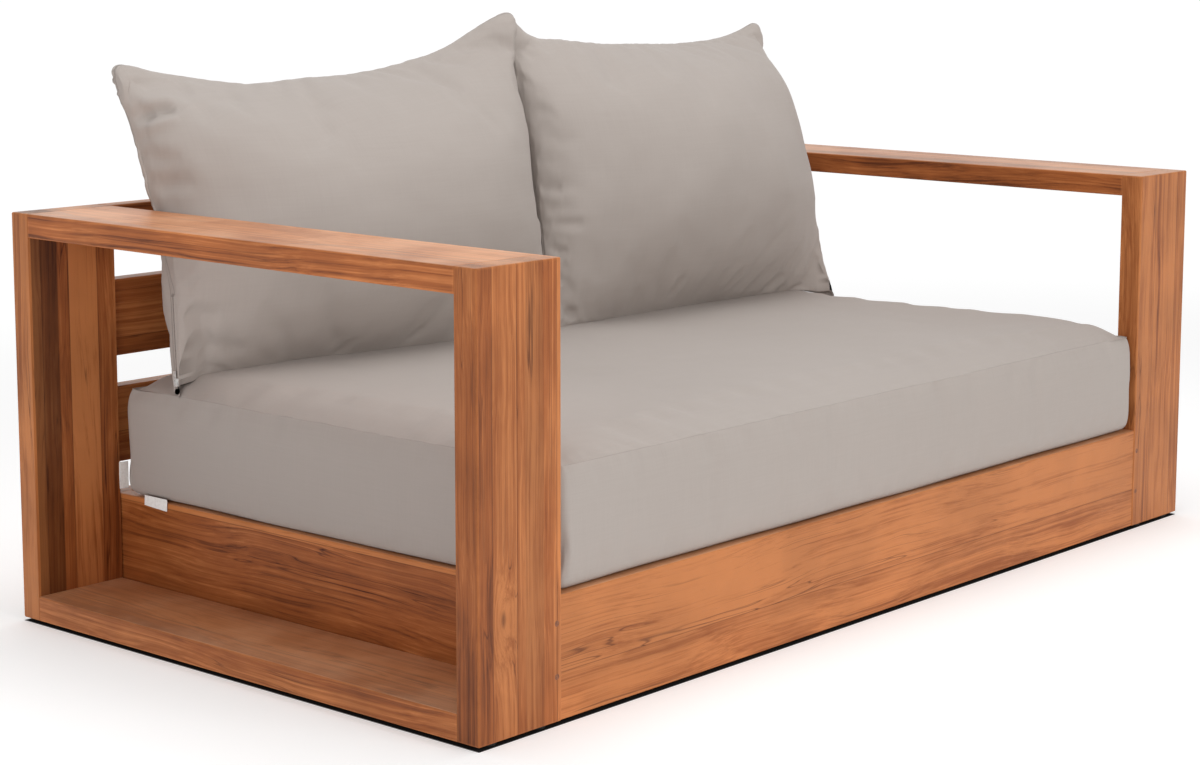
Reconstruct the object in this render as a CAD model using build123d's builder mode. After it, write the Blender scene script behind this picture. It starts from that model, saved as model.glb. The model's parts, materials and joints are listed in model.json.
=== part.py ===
"""Patio loveseat: a wooden plank frame with one seat cushion and two loose back cushions.

Lengths are millimetres. X runs along the seat, Y from front (-) to back (+), Z up from the floor.
The origin is on the floor, under the middle of the frame.
"""

import os
from math import atan2, cos, pi, sin, sqrt, tan

from build123d import *

os.makedirs("parts", exist_ok=True)

# Driving sizes of the wooden frame
overall_length = 1745
overall_depth = 936
frame_height = 600
glide_height = 5

# Side hoops: two posts, an arm and a bottom rail, all from one width of plank
plank_width = 152
post_thickness = 38
arm_thickness = 35
rail_thickness = 37
eased_edge = 2.5
butt_edge = 0.8

# Seat box: two aprons tenoned into the posts, and two panels between the aprons
box_height = 166
apron_thickness = 30
apron_recess = 1.5
panel_thickness = 25
panel_recess = 2

# Back: a top rail and two slats, tenoned into the rear posts with equal gaps above the seat box
back_thickness = 30
top_rail_height = 65
back_slat_height = 115
back_slat_count = 2

# Joinery
apron_tenon_length = 28
apron_tenon_thickness = 14
apron_tenon_shoulder = 15
back_tenon_length = 22
back_tenon_thickness = 12
back_tenon_shoulder = 10
joint_clearance = 0.2
peg_radius = 4
peg_length = 28
peg_inset = 9
peg_heights = (60, 130)
peg_clearance = 0.1
dowel_radius = 5
dowel_length = 60
dowel_in_post = 24
dowel_pitch = 40

# Seat deck
deck_slat_count = 13
deck_slat_width = 72
deck_slat_thickness = 18
deck_slat_end_gap = 1
cleat_section = 28
bearer_thickness = 28
bearer_height = 60
bearer_block_depth = 70
block_section = 36
block_floor_gap = 4

# Screws
screw_radius = 2
screw_head_radius = 4
screw_head_height = 2.4
screw_clearance = 0.1
deck_screw_length = 38
deck_screw_half_pitch = 20
frame_screw_length = 48
block_screw_edge = 24
block_screw_stagger = 20
bearer_screw_spacing = 34

# Floor glides
glide_radius = 14
glide_pin_radius = 2
glide_pin_length = 12
glide_offset = 45
glide_edge = 1

# Seat cushion: heights of the seams are above the frame's base
seat_clearance = 0.3
seat_side_gap = 3
seat_front_setback = 5
seat_rear_gap = 26
seat_seam_height = 327
seat_side_bulge = 2.5
seat_crown = 20
seat_shoulder = 120
seat_edge_inset = 8
seat_station_count = 13
seat_edge_crown_share = 0.12
shoulder_level_share = 0.75

# Back cushions: pillows that are thick at the middle and thin to a seam all round
cushion_end_gap = 8.5
cushion_centre_gap = 1
cushion_back_clearance = 1
cushion_seat_clearance = 0.5
cushion_edge = 8
cushion_tip = 3
cushion_foot = 22
cushion_foot_bow = 50
cushion_front_puff = 95
cushion_edge_bow = 1
cushion_station_count = 13
cushion_knee_rise = 235

# Seams of the back cushions at their left and right ends: how far foot, knee and tip lie in front of
# the back's planks, how far knee and tip rise above the seat's top seam, and how far the top edge
# dips between its tips
cushion_seams = {
    "left": {
        "foot_gap": (138, 230),
        "knee_gap": (132, 200),
        "tip_gap": (13, 110),
        "knee_rise": (153, 193),
        "tip_rise": (479, 540),
        "dip": 60,
    },
    "right": {
        "foot_gap": (226, 246),
        "knee_gap": (196, 222),
        "tip_gap": (138, 79),
        "knee_rise": (193, 153),
        "tip_rise": (533, 507),
        "dip": 42,
    },
}

# Zips
zip_tape_width = 12
zip_tape_thickness = 0.8
zip_clearance = 0.15
zip_chain_width = 3
zip_chain_height = 1
zip_stop_length = 3
zip_stop_width = 5
zip_stop_height = 1.5
slider_length = 12
slider_width = 9
slider_height = 2.4
slider_corner = 1.5
bail_width = 1.6
bail_span = 6
bail_opening = 1.8
bail_thickness = 1
pull_bar_radius = 0.6
pull_window_width = 2.6
pull_width = 5
pull_thickness = 1.2
pull_window_length = 4.4
pull_reach = 17
pull_corner = 1

# Back cushion zips, along the outer end's seam above its foot
cushion_zip_length = 138
cushion_zip_start = 11

# Seat cushion zip, along the middle of its rear side
seat_zip_end_gap = 167.5

# Sewn tag, bare, on the seat cushion's bottom seam near the back of the left side
tag_length = 52
tag_thickness = 0.5
tag_drop = 19
tag_rear_gap = 65
tag_gap = 0.3
tag_seam_gap = 0.55
tag_seam_rise = 4.2
tag_bend_rise = 0.8

# Places that follow from the sizes above
half_length = overall_length / 2
half_depth = overall_depth / 2
frame_base = glide_height
frame_top = frame_base + frame_height
hoop_inner_x = half_length - plank_width
hoop_centre_x = half_length - plank_width / 2
post_inner_y = half_depth - post_thickness
box_top = frame_base + box_height
apron_outer_y = half_depth - apron_recess
apron_inner_y = apron_outer_y - apron_thickness
apron_centre_y = (apron_outer_y + apron_inner_y) / 2
panel_outer_x = hoop_inner_x - panel_recess
panel_inner_x = panel_outer_x - panel_thickness
back_face_y = half_depth - back_thickness
back_centre_y = half_depth - back_thickness / 2
deck_underside = box_top - deck_slat_thickness
cleat_centre_y = apron_inner_y - cleat_section / 2
cleat_bottom = deck_underside - cleat_section
back_opening = frame_height - top_rail_height - box_height
back_gap = (back_opening - back_slat_count * back_slat_height) / (back_slat_count + 1)
middle_slat_bottom = frame_top - top_rail_height - back_gap - back_slat_height
lower_slat_bottom = middle_slat_bottom - back_gap - back_slat_height
sides = {"left": -1, "right": 1}
ends = {"front": -1, "rear": 1}
back_members = {
    "top_back_rail": (frame_top - top_rail_height, frame_top),
    "middle_back_slat": (middle_slat_bottom, middle_slat_bottom + back_slat_height),
    "lower_back_slat": (lower_slat_bottom, lower_slat_bottom + back_slat_height),
}


def span(first, second):
    """The two values in rising order."""
    return min(first, second), max(first, second)


def save(builder, name):
    """Label a finished piece and write it as its own file."""
    builder.part.label = name
    export_step(builder.part, f"parts/{name}.step")


def block(x, y, z, mode=Mode.ADD):
    """Add or cut the box between a low and a high value along each axis."""
    with BuildSketch(Plane.XY.offset(z[0])) as outline:
        with Locations(((x[0] + x[1]) / 2, (y[0] + y[1]) / 2)):
            Rectangle(x[1] - x[0], y[1] - y[0])
    extrude(outline.sketch, amount=z[1] - z[0], mode=mode)


def rod(start, direction, radius, length, mode=Mode.ADD):
    """Add or cut a round bar from a start point along a direction."""
    with BuildSketch(Plane(origin=start, z_dir=direction)) as ring:
        Circle(radius)
    extrude(ring.sketch, amount=length, mode=mode)


def grown(pair, margin):
    """A low and high value, each moved outward by a margin."""
    return pair[0] - margin, pair[1] + margin


def pegs(end, side):
    """Start points of the pegs that lock one apron tenon into one post."""
    return [
        (side * (hoop_inner_x + peg_inset), end * half_depth, frame_base + height)
        for height in peg_heights
    ]


def peg_holes(end, side):
    """Cut the peg holes of one joint from the open part."""
    for start in pegs(end, side):
        rod(start, (0, -end, 0), peg_radius + peg_clearance, peg_length + peg_clearance, Mode.SUBTRACT)


def hoop_dowels(side, end):
    """Start points of the dowels that join arm and bottom rail to one post."""
    levels = (frame_top - arm_thickness / 2, frame_base + rail_thickness / 2)
    offsets = (-dowel_pitch, 0, dowel_pitch)
    start_y = end * (post_inner_y + dowel_in_post)
    return [(side * hoop_centre_x + offset, start_y, level) for level in levels for offset in offsets]


def dowel_holes(side, end):
    """Cut the dowel holes of one post's joints from the open part."""
    for x, y, z in hoop_dowels(side, end):
        start = (x, y + end * peg_clearance, z)
        hole_length = dowel_length + 2 * peg_clearance
        rod(start, (0, -end, 0), dowel_radius + peg_clearance, hole_length, Mode.SUBTRACT)


def apron_tenon(side, end, margin=0):
    """The low and high values of one apron tenon, or of its mortise with a margin."""
    x = span(side * hoop_inner_x, side * (hoop_inner_x + apron_tenon_length + margin))
    y = (-apron_tenon_thickness / 2, apron_tenon_thickness / 2)
    y = tuple(end * apron_centre_y + value for value in y)
    z = (frame_base + apron_tenon_shoulder, box_top - apron_tenon_shoulder)
    return x, grown(y, margin), grown(z, margin)


def back_tenon(side, heights, margin=0):
    """The low and high values of one back tenon, or of its mortise with a margin."""
    x = span(side * hoop_inner_x, side * (hoop_inner_x + back_tenon_length + margin))
    y = (back_centre_y - back_tenon_thickness / 2, back_centre_y + back_tenon_thickness / 2)
    z = (heights[0] + back_tenon_shoulder, heights[1] - back_tenon_shoulder)
    return x, grown(y, margin), grown(z, margin)


def glide_places():
    """Centres of the floor glides, two under each post."""
    return [
        (side * hoop_centre_x + offset, end * (half_depth - post_thickness / 2))
        for side in sides.values()
        for end in ends.values()
        for offset in (-glide_offset, glide_offset)
    ]


def make_posts():
    """Four full-height posts, mortised for the aprons and, at the rear, for the back members."""
    for side_name, side in sides.items():
        for end_name, end in ends.items():
            with BuildPart() as post:
                x = span(side * hoop_inner_x, side * half_length)
                y = span(end * post_inner_y, end * half_depth)
                block(x, y, (frame_base, frame_top))
                inner_group = 0 if end > 0 else -1
                inner_edges = post.edges().group_by(Axis.Y)[inner_group]
                outer_edges = [edge for edge in post.edges() if edge not in inner_edges]
                fillet(outer_edges, eased_edge)
                block(*apron_tenon(side, end, joint_clearance), mode=Mode.SUBTRACT)
                peg_holes(end, side)
                dowel_holes(side, end)
                if end > 0:
                    for heights in back_members.values():
                        block(*back_tenon(side, heights, joint_clearance), mode=Mode.SUBTRACT)
                for place in glide_places():
                    hole_length = glide_pin_length + peg_clearance
                    start = (*place, frame_base)
                    rod(start, (0, 0, 1), glide_pin_radius + peg_clearance, hole_length, Mode.SUBTRACT)
            save(post, f"{side_name}_{end_name}_post")


def make_hoop_planks():
    """The arm and the bottom rail of each hoop, butted between its posts."""
    levels = {
        "arm": (frame_top - arm_thickness, frame_top),
        "bottom_rail": (frame_base, frame_base + rail_thickness),
    }
    for side_name, side in sides.items():
        for name, heights in levels.items():
            with BuildPart() as plank:
                x = span(side * hoop_inner_x, side * half_length)
                block(x, (-post_inner_y, post_inner_y), heights)
                fillet(plank.edges().filter_by(Axis.Y), eased_edge)
                by_depth = plank.faces().sort_by(Axis.Y)
                chamfer(by_depth[0].edges() + by_depth[-1].edges(), butt_edge)
                for end in ends.values():
                    dowel_holes(side, end)
            save(plank, f"{side_name}_{name}")


def make_aprons():
    """Front and rear aprons with a tenon at each end, pegged through the posts."""
    for end_name, end in ends.items():
        with BuildPart() as apron:
            y = span(end * apron_outer_y, end * apron_inner_y)
            block((-hoop_inner_x, hoop_inner_x), y, (frame_base, box_top))
            fillet(apron.edges().filter_by(Axis.X), eased_edge)
            for side in sides.values():
                block(*apron_tenon(side, end))
                peg_holes(end, side)
            frame_screw_holes()
        save(apron, f"{end_name}_apron")


def make_side_panels():
    """Side panels of the seat box, just inside the hoops, butted between the aprons."""
    for side_name, side in sides.items():
        with BuildPart() as panel:
            x = span(side * panel_inner_x, side * panel_outer_x)
            block(x, (-apron_inner_y, apron_inner_y), (frame_base, box_top))
            fillet(panel.edges().filter_by(Axis.Y), eased_edge)
            frame_screw_holes()
        save(panel, f"{side_name}_side_panel")


def make_back_members():
    """Top rail and two slats of the back, each with a stub tenon at both ends."""
    for name, heights in back_members.items():
        with BuildPart() as member:
            block((-hoop_inner_x, hoop_inner_x), (back_face_y, half_depth), heights)
            fillet(member.edges().filter_by(Axis.X), eased_edge)
            for side in sides.values():
                block(*back_tenon(side, heights))
        save(member, name)


def make_screw(length, margin=0):
    """A countersunk screw with its head flush at the origin and its tip down, or its hole."""
    with BuildPart() as screw:
        with BuildSketch(Plane.XZ):
            with BuildLine():
                Polyline(
                    (0, 0),
                    (screw_head_radius + margin, 0),
                    (screw_radius + margin, -screw_head_height - margin),
                    (screw_radius + margin, -length + screw_radius),
                    (0, -length - margin),
                    close=True,
                )
            make_face()
        revolve(axis=Axis.Z)
    return screw.part


def deck_slat_centres():
    """X places of the deck slats, with equal gaps between them and at both ends."""
    gap = (2 * panel_inner_x - deck_slat_count * deck_slat_width) / (deck_slat_count + 1)
    pitch = deck_slat_width + gap
    return [(index - (deck_slat_count - 1) / 2) * pitch for index in range(deck_slat_count)]


def deck_screw_planes():
    """Planes of the deck screws: two per slat at each cleat and at the bearer."""
    return [
        Plane(origin=(centre + offset, y, box_top))
        for centre in deck_slat_centres()
        for offset in (-deck_screw_half_pitch, deck_screw_half_pitch)
        for y in (-cleat_centre_y, 0, cleat_centre_y)
    ]


def block_heights():
    """Floor side and top of the corner blocks."""
    return frame_base + block_floor_gap, cleat_bottom


def frame_screw_planes():
    """Planes of the screws that hold the cleats, corner blocks and bearer blocks, head outward."""
    planes = []
    centres = deck_slat_centres()
    gap_centres = [(first + second) / 2 for first, second in zip(centres, centres[1:])]
    low, high = block_heights()
    bearer_block_z = deck_underside - bearer_height - block_section / 2
    for end in ends.values():
        inner = end * (apron_inner_y - cleat_section)
        for x in gap_centres[::2]:
            height = cleat_bottom + cleat_section / 2
            planes.append(Plane(origin=(x, inner, height), z_dir=(0, -end, 0)))
        for side in sides.values():
            middle = side * (panel_inner_x - block_section / 2)
            face = end * (apron_inner_y - block_section)
            for height in (low + block_screw_edge, high - block_screw_edge):
                planes.append(Plane(origin=(middle, face, height), z_dir=(0, -end, 0)))
            middle = end * (apron_inner_y - block_section / 2)
            face = side * (panel_inner_x - block_section)
            inset = block_screw_edge + block_screw_stagger
            for height in (low + inset, high - inset):
                planes.append(Plane(origin=(face, middle, height), z_dir=(-side, 0, 0)))
    for side in sides.values():
        face = side * (panel_inner_x - block_section)
        for y in (-bearer_screw_spacing / 2, bearer_screw_spacing / 2):
            planes.append(Plane(origin=(face, y, bearer_block_z), z_dir=(-side, 0, 0)))
    return planes


def deck_screw_holes(member):
    """Cut the deck screw holes that reach one member from the top."""
    hole = make_screw(deck_screw_length, screw_clearance)
    box = member.part.bounding_box()
    planes = [
        plane
        for plane in deck_screw_planes()
        if box.min.X < plane.origin.X < box.max.X and box.min.Y < plane.origin.Y < box.max.Y
    ]
    with Locations([plane.location for plane in planes]):
        add(hole, mode=Mode.SUBTRACT)


def frame_screw_holes():
    """Cut every frame screw's hole from the open part."""
    hole = make_screw(frame_screw_length, screw_clearance)
    with Locations([plane.location for plane in frame_screw_planes()]):
        add(hole, mode=Mode.SUBTRACT)


def make_deck():
    """Deck slats across the seat, on a cleat at each apron and on a bearer in the middle."""
    for index, centre in enumerate(deck_slat_centres(), start=1):
        with BuildPart() as slat:
            x = (centre - deck_slat_width / 2, centre + deck_slat_width / 2)
            reach = apron_inner_y - deck_slat_end_gap
            block(x, (-reach, reach), (deck_underside, box_top))
            fillet(slat.edges().filter_by(Axis.Y), eased_edge)
            deck_screw_holes(slat)
        save(slat, f"deck_slat_{index:02d}")
    for end_name, end in ends.items():
        with BuildPart() as cleat:
            y = span(end * (apron_inner_y - cleat_section), end * apron_inner_y)
            block((-panel_inner_x, panel_inner_x), y, (cleat_bottom, deck_underside))
            deck_screw_holes(cleat)
            frame_screw_holes()
        save(cleat, f"{end_name}_cleat")
    with BuildPart() as bearer:
        y = (-bearer_thickness / 2, bearer_thickness / 2)
        block((-panel_inner_x, panel_inner_x), y, (deck_underside - bearer_height, deck_underside))
        deck_screw_holes(bearer)
    save(bearer, "centre_bearer")


def make_blocks():
    """Blocks in the corners of the seat box, and one under each end of the bearer."""
    for side_name, side in sides.items():
        x = span(side * (panel_inner_x - block_section), side * panel_inner_x)
        for end_name, end in ends.items():
            with BuildPart() as corner_block:
                y = span(end * (apron_inner_y - block_section), end * apron_inner_y)
                block(x, y, block_heights())
                frame_screw_holes()
            save(corner_block, f"{side_name}_{end_name}_corner_block")
        with BuildPart() as bearer_block:
            y = (-bearer_block_depth / 2, bearer_block_depth / 2)
            top = deck_underside - bearer_height
            block(x, y, (top - block_section, top))
            frame_screw_holes()
        save(bearer_block, f"{side_name}_bearer_block")


def make_fasteners():
    """Pegs, dowels, screws and glides, each kind as one group of separate solids."""
    with BuildPart() as peg_group:
        for end in ends.values():
            for side in sides.values():
                for start in pegs(end, side):
                    rod(start, (0, -end, 0), peg_radius, peg_length)
    save(peg_group, "apron_pegs")
    with BuildPart() as dowel_group:
        for side in sides.values():
            for end in ends.values():
                for start in hoop_dowels(side, end):
                    rod(start, (0, -end, 0), dowel_radius, dowel_length)
    save(dowel_group, "hoop_dowels")
    with BuildPart() as deck_screws:
        with Locations([plane.location for plane in deck_screw_planes()]):
            add(make_screw(deck_screw_length))
    save(deck_screws, "deck_screws")
    with BuildPart() as frame_screws:
        with Locations([plane.location for plane in frame_screw_planes()]):
            add(make_screw(frame_screw_length))
    save(frame_screws, "frame_screws")
    with BuildPart() as glides:
        for place in glide_places():
            rod((*place, 0), (0, 0, 1), glide_radius, glide_height)
            chamfer(glides.edges(Select.LAST).group_by(Axis.Z)[0], glide_edge)
            rod((*place, glide_height), (0, 0, 1), glide_pin_radius, glide_pin_length)
    save(glides, "floor_glides")


# Cushions

seat_bottom = box_top + seat_clearance
seat_seam_top = frame_base + seat_seam_height
seat_half_width = hoop_inner_x - seat_side_gap
seat_flat_half = seat_half_width - seat_shoulder
seat_front_y = -half_depth + seat_front_setback
seat_rear_y = back_face_y - seat_rear_gap
seat_depth = seat_rear_y - seat_front_y
seat_zip_length = 2 * (seat_half_width - seat_zip_end_gap)
cushion_outer_x = hoop_inner_x - cushion_end_gap
cushion_inner_x = cushion_centre_gap / 2
cushion_width = cushion_outer_x - cushion_inner_x
cushion_back_y = back_face_y - cushion_back_clearance


def between(pair, share):
    """The value at a share of the way from the first of a pair to the second."""
    return pair[0] + (pair[1] - pair[0]) * share


def station_angles(count):
    """Angles from 0 to pi whose cosines crowd the stations of a loft towards its two ends."""
    return [pi * index / (count - 1) for index in range(count)]


def seat_crown_at(y):
    """How far the seat cushion's top stands above its seam at one place along its depth."""
    offset_share = 1 - 2 * (y - seat_front_y) / seat_depth
    swell = sqrt(sqrt(max(0, 1 - offset_share**2)))
    return seat_crown * between((seat_edge_crown_share, 1), swell)


def seat_top_at(x, y):
    """Height of the seat cushion's top at one place in plan."""
    beyond = max(0, abs(x) - seat_flat_half) / seat_shoulder
    return seat_seam_top + seat_crown_at(y) * (1 - beyond**2)


def seat_section(angle):
    """Outline across the seat cushion at one place along its depth."""
    inset = seat_edge_inset * (1 - sin(angle)) ** 3
    y = seat_front_y + seat_depth * (1 - cos(angle)) / 2
    half = seat_half_width - inset
    low = seat_bottom + inset
    high = seat_seam_top - inset
    middle = (low + high) / 2
    top = seat_seam_top + seat_crown_at(y) - inset
    shoulder = (half + seat_flat_half) / 2
    shoulder_z = between((high, top), shoulder_level_share)
    side = half + seat_side_bulge
    with BuildSketch(Plane.XZ.offset(-y)) as section:
        with BuildLine():
            Line((-half, low), (half, low))
            ThreePointArc((half, low), (side, middle), (half, high))
            ThreePointArc((half, high), (shoulder, shoulder_z), (seat_flat_half, top))
            Line((seat_flat_half, top), (-seat_flat_half, top))
            ThreePointArc((-seat_flat_half, top), (-shoulder, shoulder_z), (-half, high))
            ThreePointArc((-half, high), (-side, middle), (-half, low))
        make_face()
    return section.sketch


def make_seat_cushion():
    """One wide seat cushion with a crowned top and sides that round out between its seams."""
    with BuildPart() as cushion:
        loft([seat_section(angle) for angle in station_angles(seat_station_count)], ruled=True)
    save(cushion, "seat_cushion")


def bowed(start, end, fullness):
    """The middle of an arc to the left of start and end, upright at the start when full."""
    along = Vector(end) - Vector(start)
    lean = atan2(abs(along.X), abs(along.Y)) / 2
    bow = cushion_edge_bow + fullness * along.length / 2 * tan(lean)
    outward = Vector(-along.Y, along.X).normalized()
    return Vector(start) + along / 2 + outward * bow


def cushion_section(side_name, angle):
    """Outline of a back cushion across its thickness, at one place along its width."""
    seam = cushion_seams[side_name]
    share = (1 - cos(angle)) / 2
    fullness = sin(angle)
    start_x = -cushion_outer_x if side_name == "left" else cushion_inner_x
    x = start_x + cushion_width * share
    foot_half = cushion_edge + cushion_foot * fullness
    foot_y = back_face_y - between(seam["foot_gap"], share) + cushion_foot_bow * fullness
    knee_y = back_face_y - between(seam["knee_gap"], share)
    tip_y = back_face_y - between(seam["tip_gap"], share)
    front_y = knee_y - cushion_edge - cushion_front_puff * fullness
    rear_y = between((knee_y + cushion_edge, cushion_back_y), fullness)
    foot_z = seat_top_at(x, foot_y - foot_half) + cushion_seat_clearance
    end_knee_rise = between(seam["knee_rise"], share)
    knee_z = seat_seam_top + between((end_knee_rise, cushion_knee_rise), fullness)
    dip = seam["dip"] * (1 - abs(cos(angle)) ** 3)
    tip_z = seat_seam_top + between(seam["tip_rise"], share) - dip
    foot_front = (foot_y - foot_half, foot_z)
    foot_rear = (foot_y + foot_half, foot_z)
    knee_front = (front_y, knee_z)
    knee_rear = (rear_y, knee_z)
    tip_front = (tip_y - cushion_tip, tip_z)
    tip_rear = (tip_y + cushion_tip, tip_z)
    with BuildSketch(Plane.YZ.offset(x)) as section:
        with BuildLine():
            Line(foot_front, foot_rear)
            ThreePointArc(foot_rear, bowed(knee_rear, foot_rear, fullness), knee_rear)
            ThreePointArc(knee_rear, bowed(tip_rear, knee_rear, fullness), tip_rear)
            Line(tip_rear, tip_front)
            ThreePointArc(tip_front, bowed(knee_front, tip_front, fullness), knee_front)
            ThreePointArc(knee_front, bowed(foot_front, knee_front, fullness), foot_front)
        make_face()
    return section.sketch


def make_back_cushions():
    """Two loose pillow-shaped back cushions, leaning on the top rail."""
    for side_name in sides:
        with BuildPart() as cushion:
            loft([cushion_section(side_name, angle) for angle in station_angles(cushion_station_count)])
        save(cushion, f"back_cushion_{side_name}")


# Zips: each is laid out on a plane that lies on the cushion, with X along the zip and Z outward

slider_base_z = zip_tape_thickness + zip_clearance
slider_top_z = slider_base_z + slider_height
slider_start = zip_stop_length + zip_clearance
slider_centre = slider_start + slider_length / 2
pull_axis_z = slider_top_z + bail_opening / 2


def zip_planes():
    """The plane and the length of each zip, by the cushion that it closes."""
    planes = {}
    for side_name, side in sides.items():
        seam = cushion_seams[side_name]
        end = 0 if side < 0 else 1
        knee_y = back_face_y - seam["knee_gap"][end]
        knee_z = seat_seam_top + seam["knee_rise"][end]
        foot_y = back_face_y - seam["foot_gap"][end]
        foot_z = seat_top_at(cushion_outer_x, foot_y - cushion_edge) + cushion_seat_clearance
        along = Vector(0, knee_y - foot_y, knee_z - foot_z).normalized()
        origin = Vector(side * cushion_outer_x, foot_y, foot_z) + along * cushion_zip_start
        plane = Plane(origin=origin, x_dir=along, z_dir=(side, 0, 0))
        planes[side_name] = (plane, cushion_zip_length)
    seat_origin = (-seat_zip_length / 2, seat_rear_y, (seat_bottom + seat_seam_top) / 2)
    planes["seat"] = (Plane(origin=seat_origin, x_dir=(1, 0, 0), z_dir=(0, 1, 0)), seat_zip_length)
    return planes


def plate(plane, height, thickness, start, length, width, mode=Mode.ADD):
    """Add or cut a flat bar on a zip's plane, from a start along the zip and centred across it."""
    with BuildSketch(plane.offset(height)) as outline:
        with Locations((start + length / 2, 0)):
            Rectangle(length, width)
    extrude(outline.sketch, amount=thickness, mode=mode)


def make_zips():
    """Each cushion's zip: a tape with its chain and stops, a slider and a hinged pull."""
    for name, (plane, length) in zip_planes().items():
        with BuildPart() as tape:
            plate(plane, 0, zip_tape_thickness, 0, length, zip_tape_width)
            plate(plane, zip_tape_thickness, zip_chain_height, 0, length, zip_chain_width)
            for start in (0, length - zip_stop_length):
                plate(plane, zip_tape_thickness, zip_stop_height, start, zip_stop_length, zip_stop_width)
        save(tape, f"{name}_zip_tape")
        with BuildPart() as slider:
            plate(plane, slider_base_z, slider_height, slider_start, slider_length, slider_width)
            out_edges = slider.edges().filter_by(Axis(origin=plane.origin, direction=plane.z_dir))
            fillet(out_edges, slider_corner)
            groove_width = zip_chain_width + 2 * zip_clearance
            groove = (slider_start, slider_length, groove_width)
            plate(plane, slider_base_z, zip_chain_height, *groove, mode=Mode.SUBTRACT)
            bail_start = slider_centre - bail_span / 2
            for leg_start in (bail_start, bail_start + bail_span - bail_thickness):
                bail_height = bail_opening + bail_thickness
                plate(plane, slider_top_z, bail_height, leg_start, bail_thickness, bail_width)
            bridge_z = slider_top_z + bail_opening
            plate(plane, bridge_z, bail_thickness, bail_start, bail_span, bail_width)
        save(slider, f"{name}_zip_slider")
        with BuildPart() as pull:
            pull_base_z = pull_axis_z - pull_thickness / 2
            plate(plane, pull_base_z, pull_thickness, slider_centre, pull_reach, pull_width)
            out_edges = pull.edges().filter_by(Axis(origin=plane.origin, direction=plane.z_dir))
            along_zip = Axis(origin=plane.origin, direction=plane.x_dir)
            fillet(out_edges.sort_by(along_zip)[-2:], pull_corner)
            window_length = pull_window_length - pull_bar_radius
            window = (slider_centre + pull_bar_radius, window_length, pull_window_width)
            plate(plane, pull_base_z, pull_thickness, *window, mode=Mode.SUBTRACT)
            bar_start = plane.from_local_coords((slider_centre, -pull_width / 2, pull_axis_z))
            rod(bar_start, plane.y_dir, pull_bar_radius, pull_width)
        save(pull, f"{name}_zip_pull")


def make_tag():
    """A bare sewn tag that hangs from the seat cushion's bottom seam, clear of the side panel."""
    outer_x = -(hoop_inner_x - tag_gap)
    inner_x = outer_x + tag_thickness
    seam_x = -(seat_half_width + tag_seam_gap)
    seam_z = seat_bottom + tag_seam_rise
    bend_z = seat_bottom + tag_bend_rise
    low_z = seat_bottom - tag_drop
    rear_y = seat_rear_y - tag_rear_gap + tag_length / 2
    with BuildPart() as tag:
        with BuildSketch(Plane.XZ.offset(-rear_y)):
            with BuildLine():
                Polyline(
                    (seam_x, seam_z),
                    (inner_x, bend_z),
                    (inner_x, low_z),
                    (outer_x, low_z),
                    (outer_x, bend_z),
                    (seam_x - tag_thickness, seam_z + tag_thickness),
                    close=True,
                )
            make_face()
        extrude(amount=tag_length)
    save(tag, "seat_tag")


make_posts()
make_hoop_planks()
make_aprons()
make_side_panels()
make_back_members()
make_deck()
make_blocks()
make_fasteners()
make_seat_cushion()
make_back_cushions()
make_zips()
make_tag()
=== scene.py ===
"""Looks of a patio loveseat: oiled planks, a boxed seat cushion and two loose back pillows.

Lengths are metres in the frame's own axes: X along the seat, Y from front to back, Z up.
"""

import json
import logging
import math
from dataclasses import dataclass, field
from enum import Enum

import bmesh
import bpy
import numpy as np
from mathutils import Matrix, Vector


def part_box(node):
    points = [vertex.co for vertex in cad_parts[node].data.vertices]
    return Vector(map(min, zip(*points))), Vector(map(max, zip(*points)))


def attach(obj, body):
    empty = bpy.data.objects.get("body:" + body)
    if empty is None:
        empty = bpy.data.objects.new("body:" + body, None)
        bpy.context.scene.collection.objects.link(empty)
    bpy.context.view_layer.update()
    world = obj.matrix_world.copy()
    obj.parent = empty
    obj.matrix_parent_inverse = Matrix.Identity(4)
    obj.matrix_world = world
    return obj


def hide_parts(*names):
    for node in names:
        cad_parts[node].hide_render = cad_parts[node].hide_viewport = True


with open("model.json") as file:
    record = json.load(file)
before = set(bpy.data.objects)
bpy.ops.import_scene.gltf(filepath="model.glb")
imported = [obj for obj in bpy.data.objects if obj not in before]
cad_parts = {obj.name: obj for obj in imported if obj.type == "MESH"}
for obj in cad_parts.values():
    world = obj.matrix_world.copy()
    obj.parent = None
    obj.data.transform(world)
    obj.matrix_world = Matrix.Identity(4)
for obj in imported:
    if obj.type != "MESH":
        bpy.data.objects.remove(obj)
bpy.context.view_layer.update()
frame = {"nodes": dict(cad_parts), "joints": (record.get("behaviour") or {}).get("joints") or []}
LOG = logging.getLogger("patio_loveseat")

Colour = tuple[float, float, float]
Place = tuple[float, float, float]
Knots = tuple[tuple[float, float], ...]
Socket = bpy.types.NodeSocket


class Axis(Enum):
    """The frame's axes, by their index in a vector."""

    X = 0
    Y = 1
    Z = 2


class Side(Enum):
    """The two ends of the seat, by the sign of X."""

    LEFT = -1
    RIGHT = 1

    @property
    def word(self) -> str:
        """The side's name as the nodes spell it."""
        return self.name.lower()


def srgb(red: int, green: int, blue: int) -> Colour:
    """Turn a colour as seen on a screen into the linear one that shaders use.

    Args:
        red, green, blue: The channels, from 0 to 255.

    Returns:
        The linear colour, from 0 to 1.
    """
    share = np.array([red, green, blue]) / 255
    linear = np.where(share <= 0.04045, share / 12.92, ((share + 0.055) / 1.055) ** 2.4)
    return tuple(float(value) for value in linear)


# Shader trees


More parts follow.
